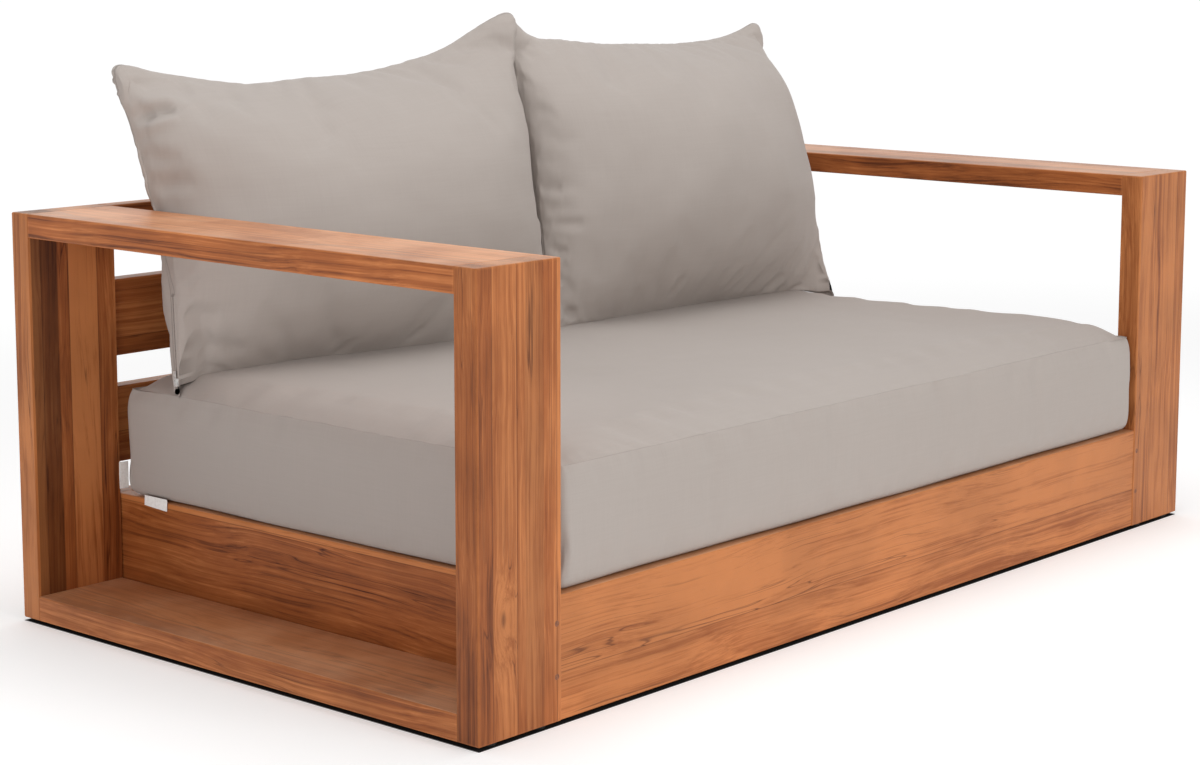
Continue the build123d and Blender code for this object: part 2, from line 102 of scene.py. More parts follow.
class Tree:
    """Short ways to add and join shader nodes in one node tree."""

    def __init__(self, tree: bpy.types.NodeTree) -> None:
        """Work on one node tree."""
        self.tree = tree

    def put(self, socket: Socket, value: object) -> None:
        """Link a socket to another one, or set its own value.

        Args:
            socket: The socket to feed.
            value: Another socket, or a value.
        """
        if isinstance(value, Socket):
            self.tree.links.new(value, socket)
        elif isinstance(value, tuple) and len(value) == 3 and socket.type == "RGBA":
            socket.default_value = (*value, 1.0)
        else:
            socket.default_value = value

    def node(self, kind: str, inputs: dict | None = None, **settings: object) -> bpy.types.Node:
        """Add a node.

        Args:
            kind: The node's type without its ShaderNode prefix.
            inputs: Values or sockets for its inputs, by name or index.
            settings: Attributes to set on the node.

        Returns:
            The new node.
        """
        made = self.tree.nodes.new("ShaderNode" + kind)
        for name, value in settings.items():
            setattr(made, name, value)
        for key, value in (inputs or {}).items():
            self.put(made.inputs[key], value)
        return made

    def math(self, operation: str, first: object, second: object = 0.0, clamp: bool = False) -> Socket:
        """Add a Math node and give its result."""
        return self.node("Math", {0: first, 1: second}, operation=operation, use_clamp=clamp).outputs[0]

    def add(self, first: object, second: object, clamp: bool = False) -> Socket:
        """The sum of two values."""
        return self.math("ADD", first, second, clamp)

    def sub(self, first: object, second: object) -> Socket:
        """The first value less the second."""
        return self.math("SUBTRACT", first, second)

    def mul(self, first: object, second: object) -> Socket:
        """The product of two values."""
        return self.math("MULTIPLY", first, second)

    def div(self, first: object, second: object) -> Socket:
        """The first value over the second."""
        return self.math("DIVIDE", first, second)

    def centred(self, value: object) -> Socket:
        """A value from 0 to 1, moved to lie round zero."""
        return self.sub(value, 0.5)

    def vector(self, operation: str, first: object, second: object) -> Socket:
        """Add a Vector Math node and give its vector."""
        return self.node("VectorMath", {0: first, 1: second}, operation=operation).outputs[0]

    def mix(self, share: object, first: object, second: object, blend: str = "MIX") -> Socket:
        """Mix two colours by a share and give the result."""
        made = self.node("Mix", {0: share, 6: first, 7: second}, data_type="RGBA", blend_type=blend)
        return made.outputs[2]

    def ease(self, value: object, low: float, high: float, start: float = 0.0, end: float = 1.0) -> Socket:
        """Map a value from low..high to start..end with a smooth step.

        Args:
            value: The value or socket to map.
            low, high: The range that it is in.
            start, end: What the two ends of that range become.

        Returns:
            The mapped value.
        """
        inputs = {"Value": value, "From Min": low, "From Max": high, "To Min": start, "To Max": end}
        made = self.node("MapRange", inputs, interpolation_type="SMOOTHSTEP")
        return made.outputs[0]

    def noise(self, place: object, scale: float, detail: float = 3.0, rough: float = 0.55) -> Socket:
        """Add a noise texture and give its value."""
        inputs = {"Vector": place, "Scale": scale, "Detail": detail, "Roughness": rough}
        return self.node("TexNoise", inputs).outputs[0]

    def stretched(self, place: object, scales: tuple[float, float, float]) -> Socket:
        """Scale a place by its own factor along each axis."""
        return self.vector("MULTIPLY", place, scales)

    def drawn(
        self, place: object, along: float, across: float, detail: float = 2.0, rough: float = 0.55
    ) -> Socket:
        """Noise drawn out along the grain, by its frequencies along and across it."""
        return self.noise(self.stretched(place, (along, across, across)), 1.0, detail, rough)

    def length(self, place: object) -> Socket:
        """The length of a vector."""
        return self.node("VectorMath", {0: place}, operation="LENGTH").outputs["Value"]

    def split(self, place: object) -> tuple[Socket, Socket, Socket]:
        """The three parts of a vector."""
        parts = self.node("SeparateXYZ", {0: place}).outputs
        return parts[0], parts[1], parts[2]

    def joined(self, x: object = 0.0, y: object = 0.0, z: object = 0.0) -> Socket:
        """A vector from its three parts."""
        return self.node("CombineXYZ", {0: x, 1: y, 2: z}).outputs[0]


def new_group(name: str, inputs: dict[str, str], outputs: dict[str, str]) -> tuple[Tree, dict, dict]:
    """Start a shader node group.

    Args:
        name: The group's name.
        inputs: Kind of each input socket, by its name.
        outputs: Kind of each output socket, by its name.

    Returns:
        The group's tree, its input values by name, and the sockets to put its results in.
    """
    group = bpy.data.node_groups.new(name, "ShaderNodeTree")
    for way, sockets in (("INPUT", inputs), ("OUTPUT", outputs)):
        for label, kind in sockets.items():
            group.interface.new_socket(name=label, in_out=way, socket_type="NodeSocket" + kind)
    tree = Tree(group)
    source = group.nodes.new("NodeGroupInput")
    target = group.nodes.new("NodeGroupOutput")
    given = {label: source.outputs[label] for label in inputs}
    results = {label: target.inputs[label] for label in outputs}
    return tree, given, results


@dataclass(frozen=True)
class GrainLayer:
    """One layer of noise in the wood, and its share in the tone."""

    along: float
    across: float
    detail: float
    rough: float
    share: float


BANDS = GrainLayer(0.5, 30.0, 5.0, 0.62, 1.7)
LINES = GrainLayer(1.2, 210.0, 4.0, 0.6, 1.5)
FLECKS = GrainLayer(8.0, 340.0, 3.0, 0.65, 0.35)
FIBRES = GrainLayer(9.0, 820.0, 2.0, 0.6, 0.6)
PATCHES = GrainLayer(4.5, 15.0, 4.0, 0.6, 1.3)


def wood_group() -> bpy.types.NodeTree:
    """Sawn timber cut from a log.

    A plank's place has X along the grain, Y across its width and Z through its thickness. The width is
    glued up from strips, each with its own tone and its own log. Long bands of colour are noise drawn out
    along the grain. Growth rings are the distance from the log's pith, bent by noise and by a knot, and
    show as arches where they run out of the face. Fibres, pores and thin dark veins lie over them.

    Returns:
        The node group, with colour, roughness and height.
    """
    tree, given, results = new_group(
        "wood_grain",
        {
            "Place": "Vector", "Seed": "Float", "Strip Width": "Float", "Strip Tone": "Float",
            "Light": "Color", "Middle": "Color", "Dark": "Color", "Ring Pitch": "Float",
            "Figure": "Float", "Knot Place": "Vector", "Knot Size": "Float",
        },
        {"Color": "Color", "Roughness": "Float", "Height": "Float"},
    )
    along, across, deep = tree.split(given["Place"])
    strips = tree.add(tree.div(across, given["Strip Width"]), given["Seed"])
    cell = tree.node("TexVoronoi", {"W": strips, "Scale": 1.0}, voronoi_dimensions="1D", feature="F1")
    edge_settings = {"voronoi_dimensions": "1D", "feature": "DISTANCE_TO_EDGE"}
    edge = tree.node("TexVoronoi", {"W": strips, "Scale": 1.0}, **edge_settings).outputs["Distance"]
    glue_gap = tree.mul(edge, given["Strip Width"])
    red, green, blue = tree.split(cell.outputs["Color"])

    # Knot: the grain swings round it by a bell, and it darkens
    from_knot = tree.vector("SUBTRACT", given["Place"], given["Knot Place"])
    knot_gap = tree.length(tree.stretched(from_knot, (0.4, 1.0, 1.0)))
    knot_share = tree.div(knot_gap, tree.add(given["Knot Size"], 0.0001))
    swing = tree.math("POWER", 2.718, tree.mul(tree.math("POWER", knot_share, 2.0), -0.2))
    swing = tree.mul(swing, tree.mul(given["Knot Size"], 2.2))

    # Each strip has its own piece of a log, and its grain meanders
    offset = tree.joined(tree.mul(red, 9.0), tree.mul(green, 7.0), given["Seed"])
    place = tree.vector("ADD", given["Place"], offset)
    meander = tree.centred(tree.drawn(place, 1.9, 5.0))
    wobble = tree.centred(tree.drawn(place, 7.0, 30.0))
    drift = tree.add(tree.mul(meander, 0.05), tree.mul(wobble, 0.004))
    drift = tree.add(tree.mul(drift, given["Figure"]), swing)
    bent = tree.vector("ADD", place, tree.joined(0.0, drift, drift))

    # Rings round the strip's own pith
    pith_y = tree.mul(tree.centred(green), 0.08)
    pith_z = tree.add(tree.mul(blue, 0.07), 0.02)
    lean = tree.mul(along, tree.mul(tree.centred(red), 0.07))
    ring_y = tree.add(tree.sub(across, pith_y), drift)
    ring_z = tree.add(tree.add(tree.add(deep, pith_z), drift), lean)
    ring = tree.div(tree.length(tree.joined(ring_y, ring_z)), given["Ring Pitch"])
    spread = tree.noise(tree.joined(0.0, ring, green), 0.5, 2.0)
    ring = tree.add(ring, tree.mul(spread, 2.6))
    phase = tree.math("FRACT", ring)
    late = tree.mul(tree.ease(phase, 0.1, 0.8), tree.ease(phase, 0.82, 1.0, 1.0, 0.0))
    ring_strength = tree.ease(tree.noise(tree.joined(0.0, ring, red), 0.6, 1.0), 0.35, 0.7)
    arches = tree.ease(tree.drawn(bent, 1.1, 9.0, 1.0), 0.38, 0.62)
    late = tree.mul(late, tree.mul(ring_strength, arches))

    # The layers' sum is the tone, from light to dark
    tone = tree.mul(late, 0.5)
    for layer in (BANDS, LINES, FLECKS, FIBRES, PATCHES):
        source = place if layer is PATCHES else bent
        noise = tree.drawn(source, layer.along, layer.across, layer.detail, layer.rough)
        tone = tree.add(tone, tree.mul(tree.centred(noise), layer.share))
        if layer is FIBRES:
            fibre = noise
    tone = tree.add(tree.add(tone, tree.mul(tree.centred(blue), given["Strip Tone"])), 0.36)
    colour = tree.mix(tree.ease(tone, -0.1, 0.75), given["Light"], given["Middle"])

    # Pores, veins where a broad noise crosses its middle, the knot's core and the glue lines are dark
    pore = tree.ease(tree.drawn(bent, 30.0, 1700.0, 2.0, 0.6), 0.62, 0.76)
    off_middle = tree.math("ABSOLUTE", tree.centred(tree.drawn(bent, 0.5, 52.0)))
    vein_areas = tree.ease(tree.drawn(place, 3.0, 16.0), 0.46, 0.64)
    vein = tree.mul(tree.ease(off_middle, 0.0, 0.016, 1.0, 0.0), vein_areas)
    knot_core = tree.ease(knot_share, 0.15, 0.8, 0.55, 0.0)
    glue = tree.ease(glue_gap, 0.0, 0.0012, 0.5, 0.0)
    dark_share = tree.ease(tone, 0.62, 1.35, 0.0, 0.8)
    for part in (tree.mul(vein, 0.6), tree.mul(pore, 0.2), knot_core):
        dark_share = tree.add(dark_share, part)
    dark_share = tree.add(dark_share, glue, clamp=True)
    tree.put(results["Color"], tree.mix(dark_share, colour, given["Dark"]))

    rough = tree.add(0.38, tree.mul(fibre, 0.14))
    tree.put(results["Roughness"], tree.add(rough, tree.mul(late, -0.05)))
    height = tree.mul(fibre, 0.3)
    for part, rise in ((pore, -0.7), (vein, -0.5), (glue, -1.4)):
        height = tree.add(height, tree.mul(part, rise))
    tree.put(results["Height"], height)
    return tree.tree


def edge_wear_group() -> bpy.types.NodeTree:
    """Wear on the edges of a block between two corners.

    The gap to the nearer face is taken along each axis, and an edge is where the sum of the two smallest
    gaps is small, broken up by noise.

    Returns:
        The node group, with the wear as a mask.
    """
    tree, given, results = new_group(
        "edge_wear", {"Place": "Vector", "Size": "Vector", "Reach": "Float"}, {"Mask": "Float"}
    )
    above = given["Place"]
    below = tree.vector("SUBTRACT", given["Size"], given["Place"])
    gap_x, gap_y, gap_z = tree.split(tree.vector("MINIMUM", above, below))
    total = tree.add(tree.add(gap_x, gap_y), gap_z)
    largest = tree.math("MAXIMUM", tree.math("MAXIMUM", gap_x, gap_y), gap_z)
    edge_gap = tree.sub(total, largest)
    rough = tree.noise(given["Place"], 60.0, 4.0, 0.65)
    worn = tree.add(edge_gap, tree.mul(tree.centred(rough), given["Reach"]))
    share = tree.div(worn, given["Reach"])
    tree.put(results["Mask"], tree.ease(share, 0.15, 1.0, 1.0, 0.0))
    return tree.tree


def weave_group() -> bpy.types.NodeTree:
    """Plain weave of two sets of threads, from a place in metres on the cloth.

    Each set is a row of rounded bars, a sine across the thread, and the two take turns on top like a
    chequerboard. Slubs lighten some threads a little.

    Returns:
        The node group, with height and tone, both from 0 to 1.
    """
    tree, given, results = new_group(
        "plain_weave", {"Place": "Vector", "Pitch": "Float"}, {"Height": "Float", "Tone": "Float"}
    )
    across, along, _ = tree.split(given["Place"])
    turns = [tree.div(value, given["Pitch"]) for value in (across, along)]
    warp = tree.math("SINE", tree.mul(turns[0], math.tau))
    weft = tree.math("SINE", tree.mul(turns[1], math.tau))
    height = tree.add(tree.mul(tree.mul(warp, weft), 0.5), 0.5)
    slub_x = tree.noise(tree.joined(turns[0], tree.mul(turns[1], 0.03)), 0.5, 2.0)
    slub_y = tree.noise(tree.joined(tree.mul(turns[0], 0.03), turns[1], 3.0), 0.5, 2.0)
    tree.put(results["Height"], height)
    tree.put(results["Tone"], tree.mul(tree.add(slub_x, slub_y), 0.5))
    return tree.tree


def soil_group() -> bpy.types.NodeTree:
    """Uneven tone and roughness of a handled surface, from two layers of noise.

    Returns:
        The node group, with a broad mask and a fine mask.
    """
    tree, given, results = new_group(
        "handling", {"Place": "Vector", "Scale": "Float"}, {"Broad": "Float", "Fine": "Float"}
    )
    scaled = {0: given["Place"], "Scale": given["Scale"]}
    place = tree.node("VectorMath", scaled, operation="SCALE").outputs[0]
    tree.put(results["Broad"], tree.noise(place, 1.0, 3.0))
    tree.put(results["Fine"], tree.noise(place, 9.0, 4.0, 0.65))
    return tree.tree


GROUPS: dict[str, bpy.types.NodeTree] = {}


def start_material(name: str) -> tuple[bpy.types.Material, Tree, bpy.types.Node]:
    """Start a material with one Principled shader.

    Args:
        name: The material's name.

    Returns:
        The material, its tree and its shader.
    """
    material = bpy.data.materials.new(name)
    material.use_nodes = True
    material.node_tree.nodes.clear()
    tree = Tree(material.node_tree)
    shader = tree.node("BsdfPrincipled")
    output = tree.node("OutputMaterial")
    tree.tree.links.new(shader.outputs[0], output.inputs["Surface"])
    return material, tree, shader


def group_node(tree: Tree, name: str, inputs: dict) -> dict[str, Socket]:
    """Place a shared node group in a material and give its outputs by name.

    Args:
        tree: The material's tree.
        name: The group's name.
        inputs: Its input values or sockets, by name.

    Returns:
        The group's outputs, by name.
    """
    made = tree.tree.nodes.new("ShaderNodeGroup")
    made.node_tree = GROUPS[name]
    for key, value in inputs.items():
        tree.put(made.inputs[key], value)
    return {socket.name: socket for socket in made.outputs}


@dataclass(frozen=True)
class WoodFinish:
    """Oiled hardwood of one cut."""

    light: Colour = srgb(203, 128, 74)
    middle: Colour = srgb(158, 88, 43)
    dark: Colour = srgb(74, 30, 11)
    # Pale colour of the painted sheen on faces that point up
    bleached: Colour = srgb(216, 172, 138)
    strip_tone: float = 0.8
    ring_pitch: float = 0.011
    figure: float = 1.0
    wear_reach: float = 0.004
    wear_share: float = 0.3
    bump: float = 0.00018
    board_edge: float = 0.002
    board_wander: float = 0.004
    gloss: float = 0.24

    def material(self, name: str, plank: "Plank") -> bpy.types.Material:
        """Make the finish for one plank.

        Args:
            name: The material's name.
            plank: The plank, whose axes and corner place the grain.

        Returns:
            The material.
        """
        material, tree, shader = start_material(name)
        low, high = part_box(plank.node)
        coordinates = tree.node("TexCoord").outputs["Object"]
        from_corner = tree.vector("SUBTRACT", coordinates, tuple(low))
        parts = tree.split(from_corner)
        order = [plank.grain, plank.across, plank.through]
        place = tree.joined(*(parts[axis.value] for axis in order))
        grain = group_node(tree, "wood_grain", {
            "Place": place, "Seed": plank.seed, "Strip Width": plank.strip_width,
            "Strip Tone": self.strip_tone, "Light": self.light, "Middle": self.middle, "Dark": self.dark,
            "Ring Pitch": self.ring_pitch, "Figure": self.figure,
            "Knot Place": plank.knot, "Knot Size": plank.knot_size,
        })
        wear = group_node(tree, "edge_wear", {
            "Place": from_corner, "Size": tuple(high - low), "Reach": self.wear_reach,
        })["Mask"]
        pale = tree.mix(tree.mul(wear, self.wear_share), grain["Color"], self.light)
        soil = group_node(tree, "handling", {"Place": coordinates, "Scale": 7.0})
        # Painted sheen: faces that point up are mixed towards a pale colour, by a fifth to a half through
        # broad noise, standing in for the sky's reflection on the tops
        normal_z = tree.split(tree.node("NewGeometry").outputs["Normal"])[2]
        facing_up = tree.ease(normal_z, 0.6, 0.95)
        painted_sheen_share = tree.mul(facing_up, tree.ease(soil["Broad"], 0.3, 0.7, 0.2, 0.5))
        pale = tree.mix(painted_sheen_share, pale, self.bleached)
        shade = tree.ease(soil["Broad"], 0.3, 0.7, plank.shade * 0.9, plank.shade * 1.06)
        wander = tree.mul(tree.centred(tree.drawn(place, 2.0, 20.0, 3.0)), self.board_wander)
        across = tree.add(parts[plank.across.value], wander)
        for start, end, tone in plank.boards:
            after_start = tree.ease(across, start, start + self.board_edge)
            before_end = tree.ease(across, end, end + self.board_edge, 1.0, 0.0)
            inside = tree.mul(after_start, before_end)
            shade = tree.mul(shade, tree.ease(inside, 0.0, 1.0, 1.0, tone))
        shaded = tree.mix(1.0, pale, tree.joined(shade, shade, shade), "MULTIPLY")
        tree.put(shader.inputs["Base Color"], shaded)
        rough = tree.add(grain["Roughness"], tree.mul(wear, 0.08))
        tree.put(shader.inputs["Roughness"], rough)
        bump = tree.node("Bump", {"Strength": 1.0, "Distance": self.bump, "Height": grain["Height"]})
        tree.put(shader.inputs["Normal"], bump.outputs[0])
        shader.inputs["Specular IOR Level"].default_value = self.gloss
        return material


@dataclass(frozen=True)
class ClothFinish:
    """Tightly woven outdoor cloth."""

    colour: Colour = srgb(177, 168, 162)
    shade: Colour = srgb(163, 153, 146)
    # Colour of the painted shade in the seams and in the grooves beside them
    seam_colour: Colour = srgb(96, 86, 79)
    pitch: float = 0.0011
    stitch_gap: float = 0.0058
    stitch_length: float = 0.004
    fold_width: float = 0.0008
    bump: float = 0.00014
    roughness: float = 0.86
    gloss: float = 0.25
    sheen: float = 0.1
    sheen_roughness: float = 0.5

    def material(self, name: str) -> bpy.types.Material:
        """Make the cloth, with a painted shade line in each seam and a row of stitches beside it in a groove
        with painted shade.

        The cloth's own map gives the weave. The attribute called seam gives the run along the nearest
        seam, the gap to it, and how plainly its stitches show.

        Args:
            name: The material's name.

        Returns:
            The material.
        """
        material, tree, shader = start_material(name)
        place = tree.node("UVMap", uv_map="cloth").outputs[0]
        weave = group_node(tree, "plain_weave", {"Place": place, "Pitch": self.pitch})
        seam = tree.node("Attribute", attribute_name="seam", attribute_type="GEOMETRY").outputs["Vector"]
        run, gap, plain = tree.split(seam)
        off_line = tree.math("ABSOLUTE", tree.sub(gap, self.stitch_gap))
        groove = tree.mul(tree.ease(off_line, 0.0003, 0.0016, 1.0, 0.0), plain)
        dash = tree.math("FRACT", tree.div(run, self.stitch_length))
        thread = tree.ease(off_line, 0.0003, 0.0006, 1.0, 0.0)
        stitch = tree.mul(tree.mul(thread, tree.ease(dash, 0.16, 0.26)), plain)
        fold = tree.ease(gap, 0.0, self.fold_width, 1.0, 0.0)
        coordinates = tree.node("TexCoord").outputs["Object"]
        soil = group_node(tree, "handling", {"Place": coordinates, "Scale": 3.0})
        tone = tree.mul(tree.sub(weave["Tone"], 0.35), 0.6)
        tone = tree.add(tone, tree.mul(soil["Broad"], 0.3))
        colour = tree.mix(tone, self.colour, self.shade)
        # Painted shade: the seam line and the stitch groove beside it are darkened towards the painted seam
        # shade colour
        dark = tree.add(tree.mul(groove, 0.3), tree.mul(fold, 0.24), clamp=True)
        tree.put(shader.inputs["Base Color"], tree.mix(dark, colour, self.seam_colour))
        rough = tree.add(self.roughness - 0.04, tree.mul(soil["Fine"], 0.08))
        tree.put(shader.inputs["Roughness"], rough)
        height = tree.mul(weave["Height"], 0.45)
        for part, rise in ((groove, -4.0), (stitch, 2.6)):
            height = tree.add(height, tree.mul(part, rise))
        bump = tree.node("Bump", {"Strength": 1.0, "Distance": self.bump, "Height": height})
        tree.put(shader.inputs["Normal"], bump.outputs[0])
        shader.inputs["Specular IOR Level"].default_value = self.gloss
        shader.inputs["Sheen Weight"].default_value = self.sheen
        shader.inputs["Sheen Roughness"].default_value = self.sheen_roughness
        return material


@dataclass(frozen=True)
class HardFinish:
    """A metal or plastic of one colour, with handling marks."""

    colour: Colour
    worn: Colour
    roughness: float
    metallic: float
    scale: float = 180.0
    bump: float = 0.00003

    def material(self, name: str) -> bpy.types.Material:
        """Make the finish.

        Args:
            name: The material's name.

        Returns:
            The material.
        """
        material, tree, shader = start_material(name)
        place = tree.node("TexCoord").outputs["Object"]
        soil = group_node(tree, "handling", {"Place": place, "Scale": self.scale})
        colour = tree.mix(tree.ease(soil["Broad"], 0.4, 0.7), self.colour, self.worn)
        tree.put(shader.inputs["Base Color"], colour)
        rough = tree.ease(soil["Fine"], 0.2, 0.8, self.roughness - 0.08, self.roughness + 0.1)
        tree.put(shader.inputs["Roughness"], rough)
        bump = tree.node("Bump", {"Strength": 1.0, "Distance": self.bump, "Height": soil["Fine"]})
        tree.put(shader.inputs["Normal"], bump.outputs[0])
        shader.inputs["Metallic"].default_value = self.metallic
        return material


# Meshes


def grid_faces(index: np.ndarray, flip: bool = False) -> np.ndarray:
    """Quads between neighbouring vertices of an index grid.

    Args:
        index: Vertex numbers on a grid of two parameters.
        flip: Whether the faces look the other way.

    Returns:
        Four vertex numbers a face.
    """
    corners = [index[:-1, :-1], index[1:, :-1], index[1:, 1:], index[:-1, 1:]]
    quads = np.stack(corners, axis=-1).reshape(-1, 4)
    return quads[:, ::-1] if flip else quads


def new_mesh_object(name: str, points: np.ndarray, faces: np.ndarray) -> bpy.types.Object:
    """Put points and quads in a new smooth-shaded object at the origin.

    Args:
        name: The object's name.
        points: Places of the vertices.
        faces: Vertex numbers of each quad.

    Returns:
        The object, linked to the scene.
    """
    mesh = bpy.data.meshes.new(name)
    mesh.vertices.add(len(points))
    mesh.vertices.foreach_set("co", points.astype(np.float32).ravel())
    sides = faces.shape[1]
    mesh.loops.add(faces.size)
    mesh.loops.foreach_set("vertex_index", faces.astype(np.int32).ravel())
    mesh.polygons.add(len(faces))
    mesh.polygons.foreach_set("loop_start", np.arange(0, faces.size, sides, dtype=np.int32))
    mesh.update(calc_edges=True)
    mesh.shade_smooth()
    made = bpy.data.objects.new(name, mesh)
    bpy.context.scene.collection.objects.link(made)
    return made


def vertex_array(item: bpy.types.Object, attribute: str = "co") -> np.ndarray:
    """The vertices' places, or their normals, as an array.

    Args:
        item: The mesh's object.
        attribute: co for places, normal for normals.

    Returns:
        One row for each vertex.
    """
    values = np.zeros(len(item.data.vertices) * 3, np.float32)
    item.data.vertices.foreach_get(attribute, values)
    return values.reshape(-1, 3).astype(float)


def set_places(item: bpy.types.Object, places: np.ndarray) -> None:
    """Move an object's vertices to new places."""
    item.data.vertices.foreach_set("co", places.astype(np.float32).ravel())
    item.data.update()


def set_vectors(item: bpy.types.Object, name: str, values: np.ndarray) -> None:
    """Keep a vector for each vertex as a named attribute."""
    attribute = item.data.attributes.new(name, "FLOAT_VECTOR", "POINT")
    attribute.data.foreach_set("vector", values.astype(np.float32).ravel())


def subdivide(item: bpy.types.Object, levels: int = 1) -> None:
    """Smooth a mesh by whole subdivisions and keep the result as its own mesh.

    Args:
        item: The mesh's object.
        levels: How many times each face is cut in four.
    """
    modifier = item.modifiers.new("smooth", "SUBSURF")
    modifier.levels = modifier.render_levels = levels
    graph = bpy.context.evaluated_depsgraph_get()
    made = bpy.data.meshes.new_from_object(item.evaluated_get(graph))
    item.modifiers.clear()
    item.data = made
    made.shade_smooth()


def turn_outward(item: bpy.types.Object, close: bool = False) -> None:
    """Turn every shell of a mesh right side out.

    Args:
        item: The mesh's object.
        close: Whether to close its open rims with flat faces first.
    """
    shape = bmesh.new()
    shape.from_mesh(item.data)
    if close:
        bmesh.ops.holes_fill(shape, edges=[edge for edge in shape.edges if edge.is_boundary])
    bmesh.ops.recalc_face_normals(shape, faces=shape.faces)
    shape.to_mesh(item.data)
    shape.free()


def add_cloth_map(item: bpy.types.Object) -> None:
    """Give a mesh a map in metres: each face is laid flat along the axis that it faces most.

    Args:
        item: The mesh's object.
    """
    mesh = item.data
    normals = np.zeros(len(mesh.polygons) * 3, np.float32)
    mesh.polygons.foreach_get("normal", normals)
    main = np.abs(normals.reshape(-1, 3)).argmax(axis=1)
    counts = np.zeros(len(mesh.polygons), np.int32)
    mesh.polygons.foreach_get("loop_total", counts)
    corners = np.zeros(len(mesh.loops), np.int32)
    mesh.loops.foreach_get("vertex_index", corners)
    places = vertex_array(item)[corners]
    axis = np.repeat(main, counts)
    flat = np.where(
        (axis == 0)[:, None], places[:, [1, 2]],
        np.where((axis == 1)[:, None], places[:, [0, 2]], places[:, [0, 1]]),
    )
    layer = mesh.uv_layers.new(name="cloth")
    layer.data.foreach_set("uv", flat.astype(np.float32).ravel())


@dataclass(frozen=True)
class Ripples:
    """Smooth random bumps of about one height and one wavelength."""

    height: float
    length: float
    count: int

    def at(self, places: np.ndarray, seed: int) -> np.ndarray:
        """How far the bumps stand out: a sum of sines with random directions, lengths and phases.

        Args:
            places: Where to evaluate them.
            seed: Seed of the random numbers.

        Returns:
            The rise at each place.
        """
        random = np.random.default_rng(seed)
        directions = random.normal(size=(self.count, 3))
        directions /= np.linalg.norm(directions, axis=1, keepdims=True)
        steps = math.tau / (self.length * random.uniform(0.7, 1.5, self.count))
        phases = random.uniform(0, math.tau, self.count)
        sines = np.sin(places @ (directions * steps[:, None]).T + phases)
        return self.height * (sines.sum(axis=1) / math.sqrt(self.count))


# Camera, lamps and surroundings


@dataclass(frozen=True)
class PhotoCamera:
    """The camera that took the photograph, solved from the frame's corners."""

    place: Place = (-3.0464, -2.6029, 1.0056)
    yaw: float = math.radians(49.549)
    pitch: float = math.radians(8.111)
    roll: float = math.radians(0.197)
    focal_pixels: float = 2543.84
    centre_pixel: tuple[float, float] = (653.45, 296.01)
    image_size: tuple[int, int] = (1200, 765)
    sensor_width: float = 36.0

    def axes(self) -> tuple[np.ndarray, np.ndarray, np.ndarray]:
        """The camera's right, up and forward directions.

        Returns:
            The three directions, one unit long.
        """
        level = math.cos(self.pitch)
        ahead = np.array([math.sin(self.yaw) * level, math.cos(self.yaw) * level, -math.sin(self.pitch)])
        right = np.array([math.cos(self.yaw), -math.sin(self.yaw), 0.0])
        up = np.cross(right, ahead)
        cosine, sine = math.cos(self.roll), math.sin(self.roll)
        return cosine * right + sine * up, cosine * up - sine * right, ahead

    def ray(self, pixel: tuple[float, float]) -> tuple[Vector, Vector]:
        """The start and direction of the line of sight through a pixel of the photograph.

        Args:
            pixel: The pixel, from the photograph's upper left corner.

        Returns:
            The camera's place and the direction.
        """
        right, up, ahead = self.axes()
        across = (pixel[0] - self.centre_pixel[0]) / self.focal_pixels
        down = (pixel[1] - self.centre_pixel[1]) / self.focal_pixels
        return Vector(self.place), Vector(ahead + across * right - down * up).normalized()

    def build(self) -> None:
        """Add the camera to the scene."""
        right, up, ahead = self.axes()
        data = bpy.data.cameras.new("photo_camera")
        width, height = self.image_size
        data.sensor_width = self.sensor_width
        data.lens = self.sensor_width * self.focal_pixels / width
        data.shift_x = (width / 2 - self.centre_pixel[0]) / width
        data.shift_y = (self.centre_pixel[1] - height / 2) / width
        data.dof.use_dof = False
        camera = bpy.data.objects.new("photo_camera", data)
        turn = Matrix((right, up, -ahead)).transposed()
        camera.matrix_world = Matrix.Translation(self.place) @ turn.to_4x4()
        bpy.context.scene.collection.objects.link(camera)
        bpy.context.scene.camera = camera


@dataclass(frozen=True)
class SoftBox:
    """A large square lamp."""

    name: str
    place: Place
    aim: Place
    size: float
    power: float
    colour: Colour = (1.0, 1.0, 1.0)

    def build(self) -> None:
        """Add the lamp to the scene."""
        data = bpy.data.lights.new(self.name, "AREA")
        data.shape = "SQUARE"
        data.size = self.size
        data.energy = self.power
        data.color = self.colour
        lamp = bpy.data.objects.new(self.name, data)
        toward = Vector(self.aim) - Vector(self.place)
        turn = toward.to_track_quat("-Z", "Y").to_matrix().to_4x4()
        lamp.matrix_world = Matrix.Translation(self.place) @ turn
        bpy.context.scene.collection.objects.link(lamp)


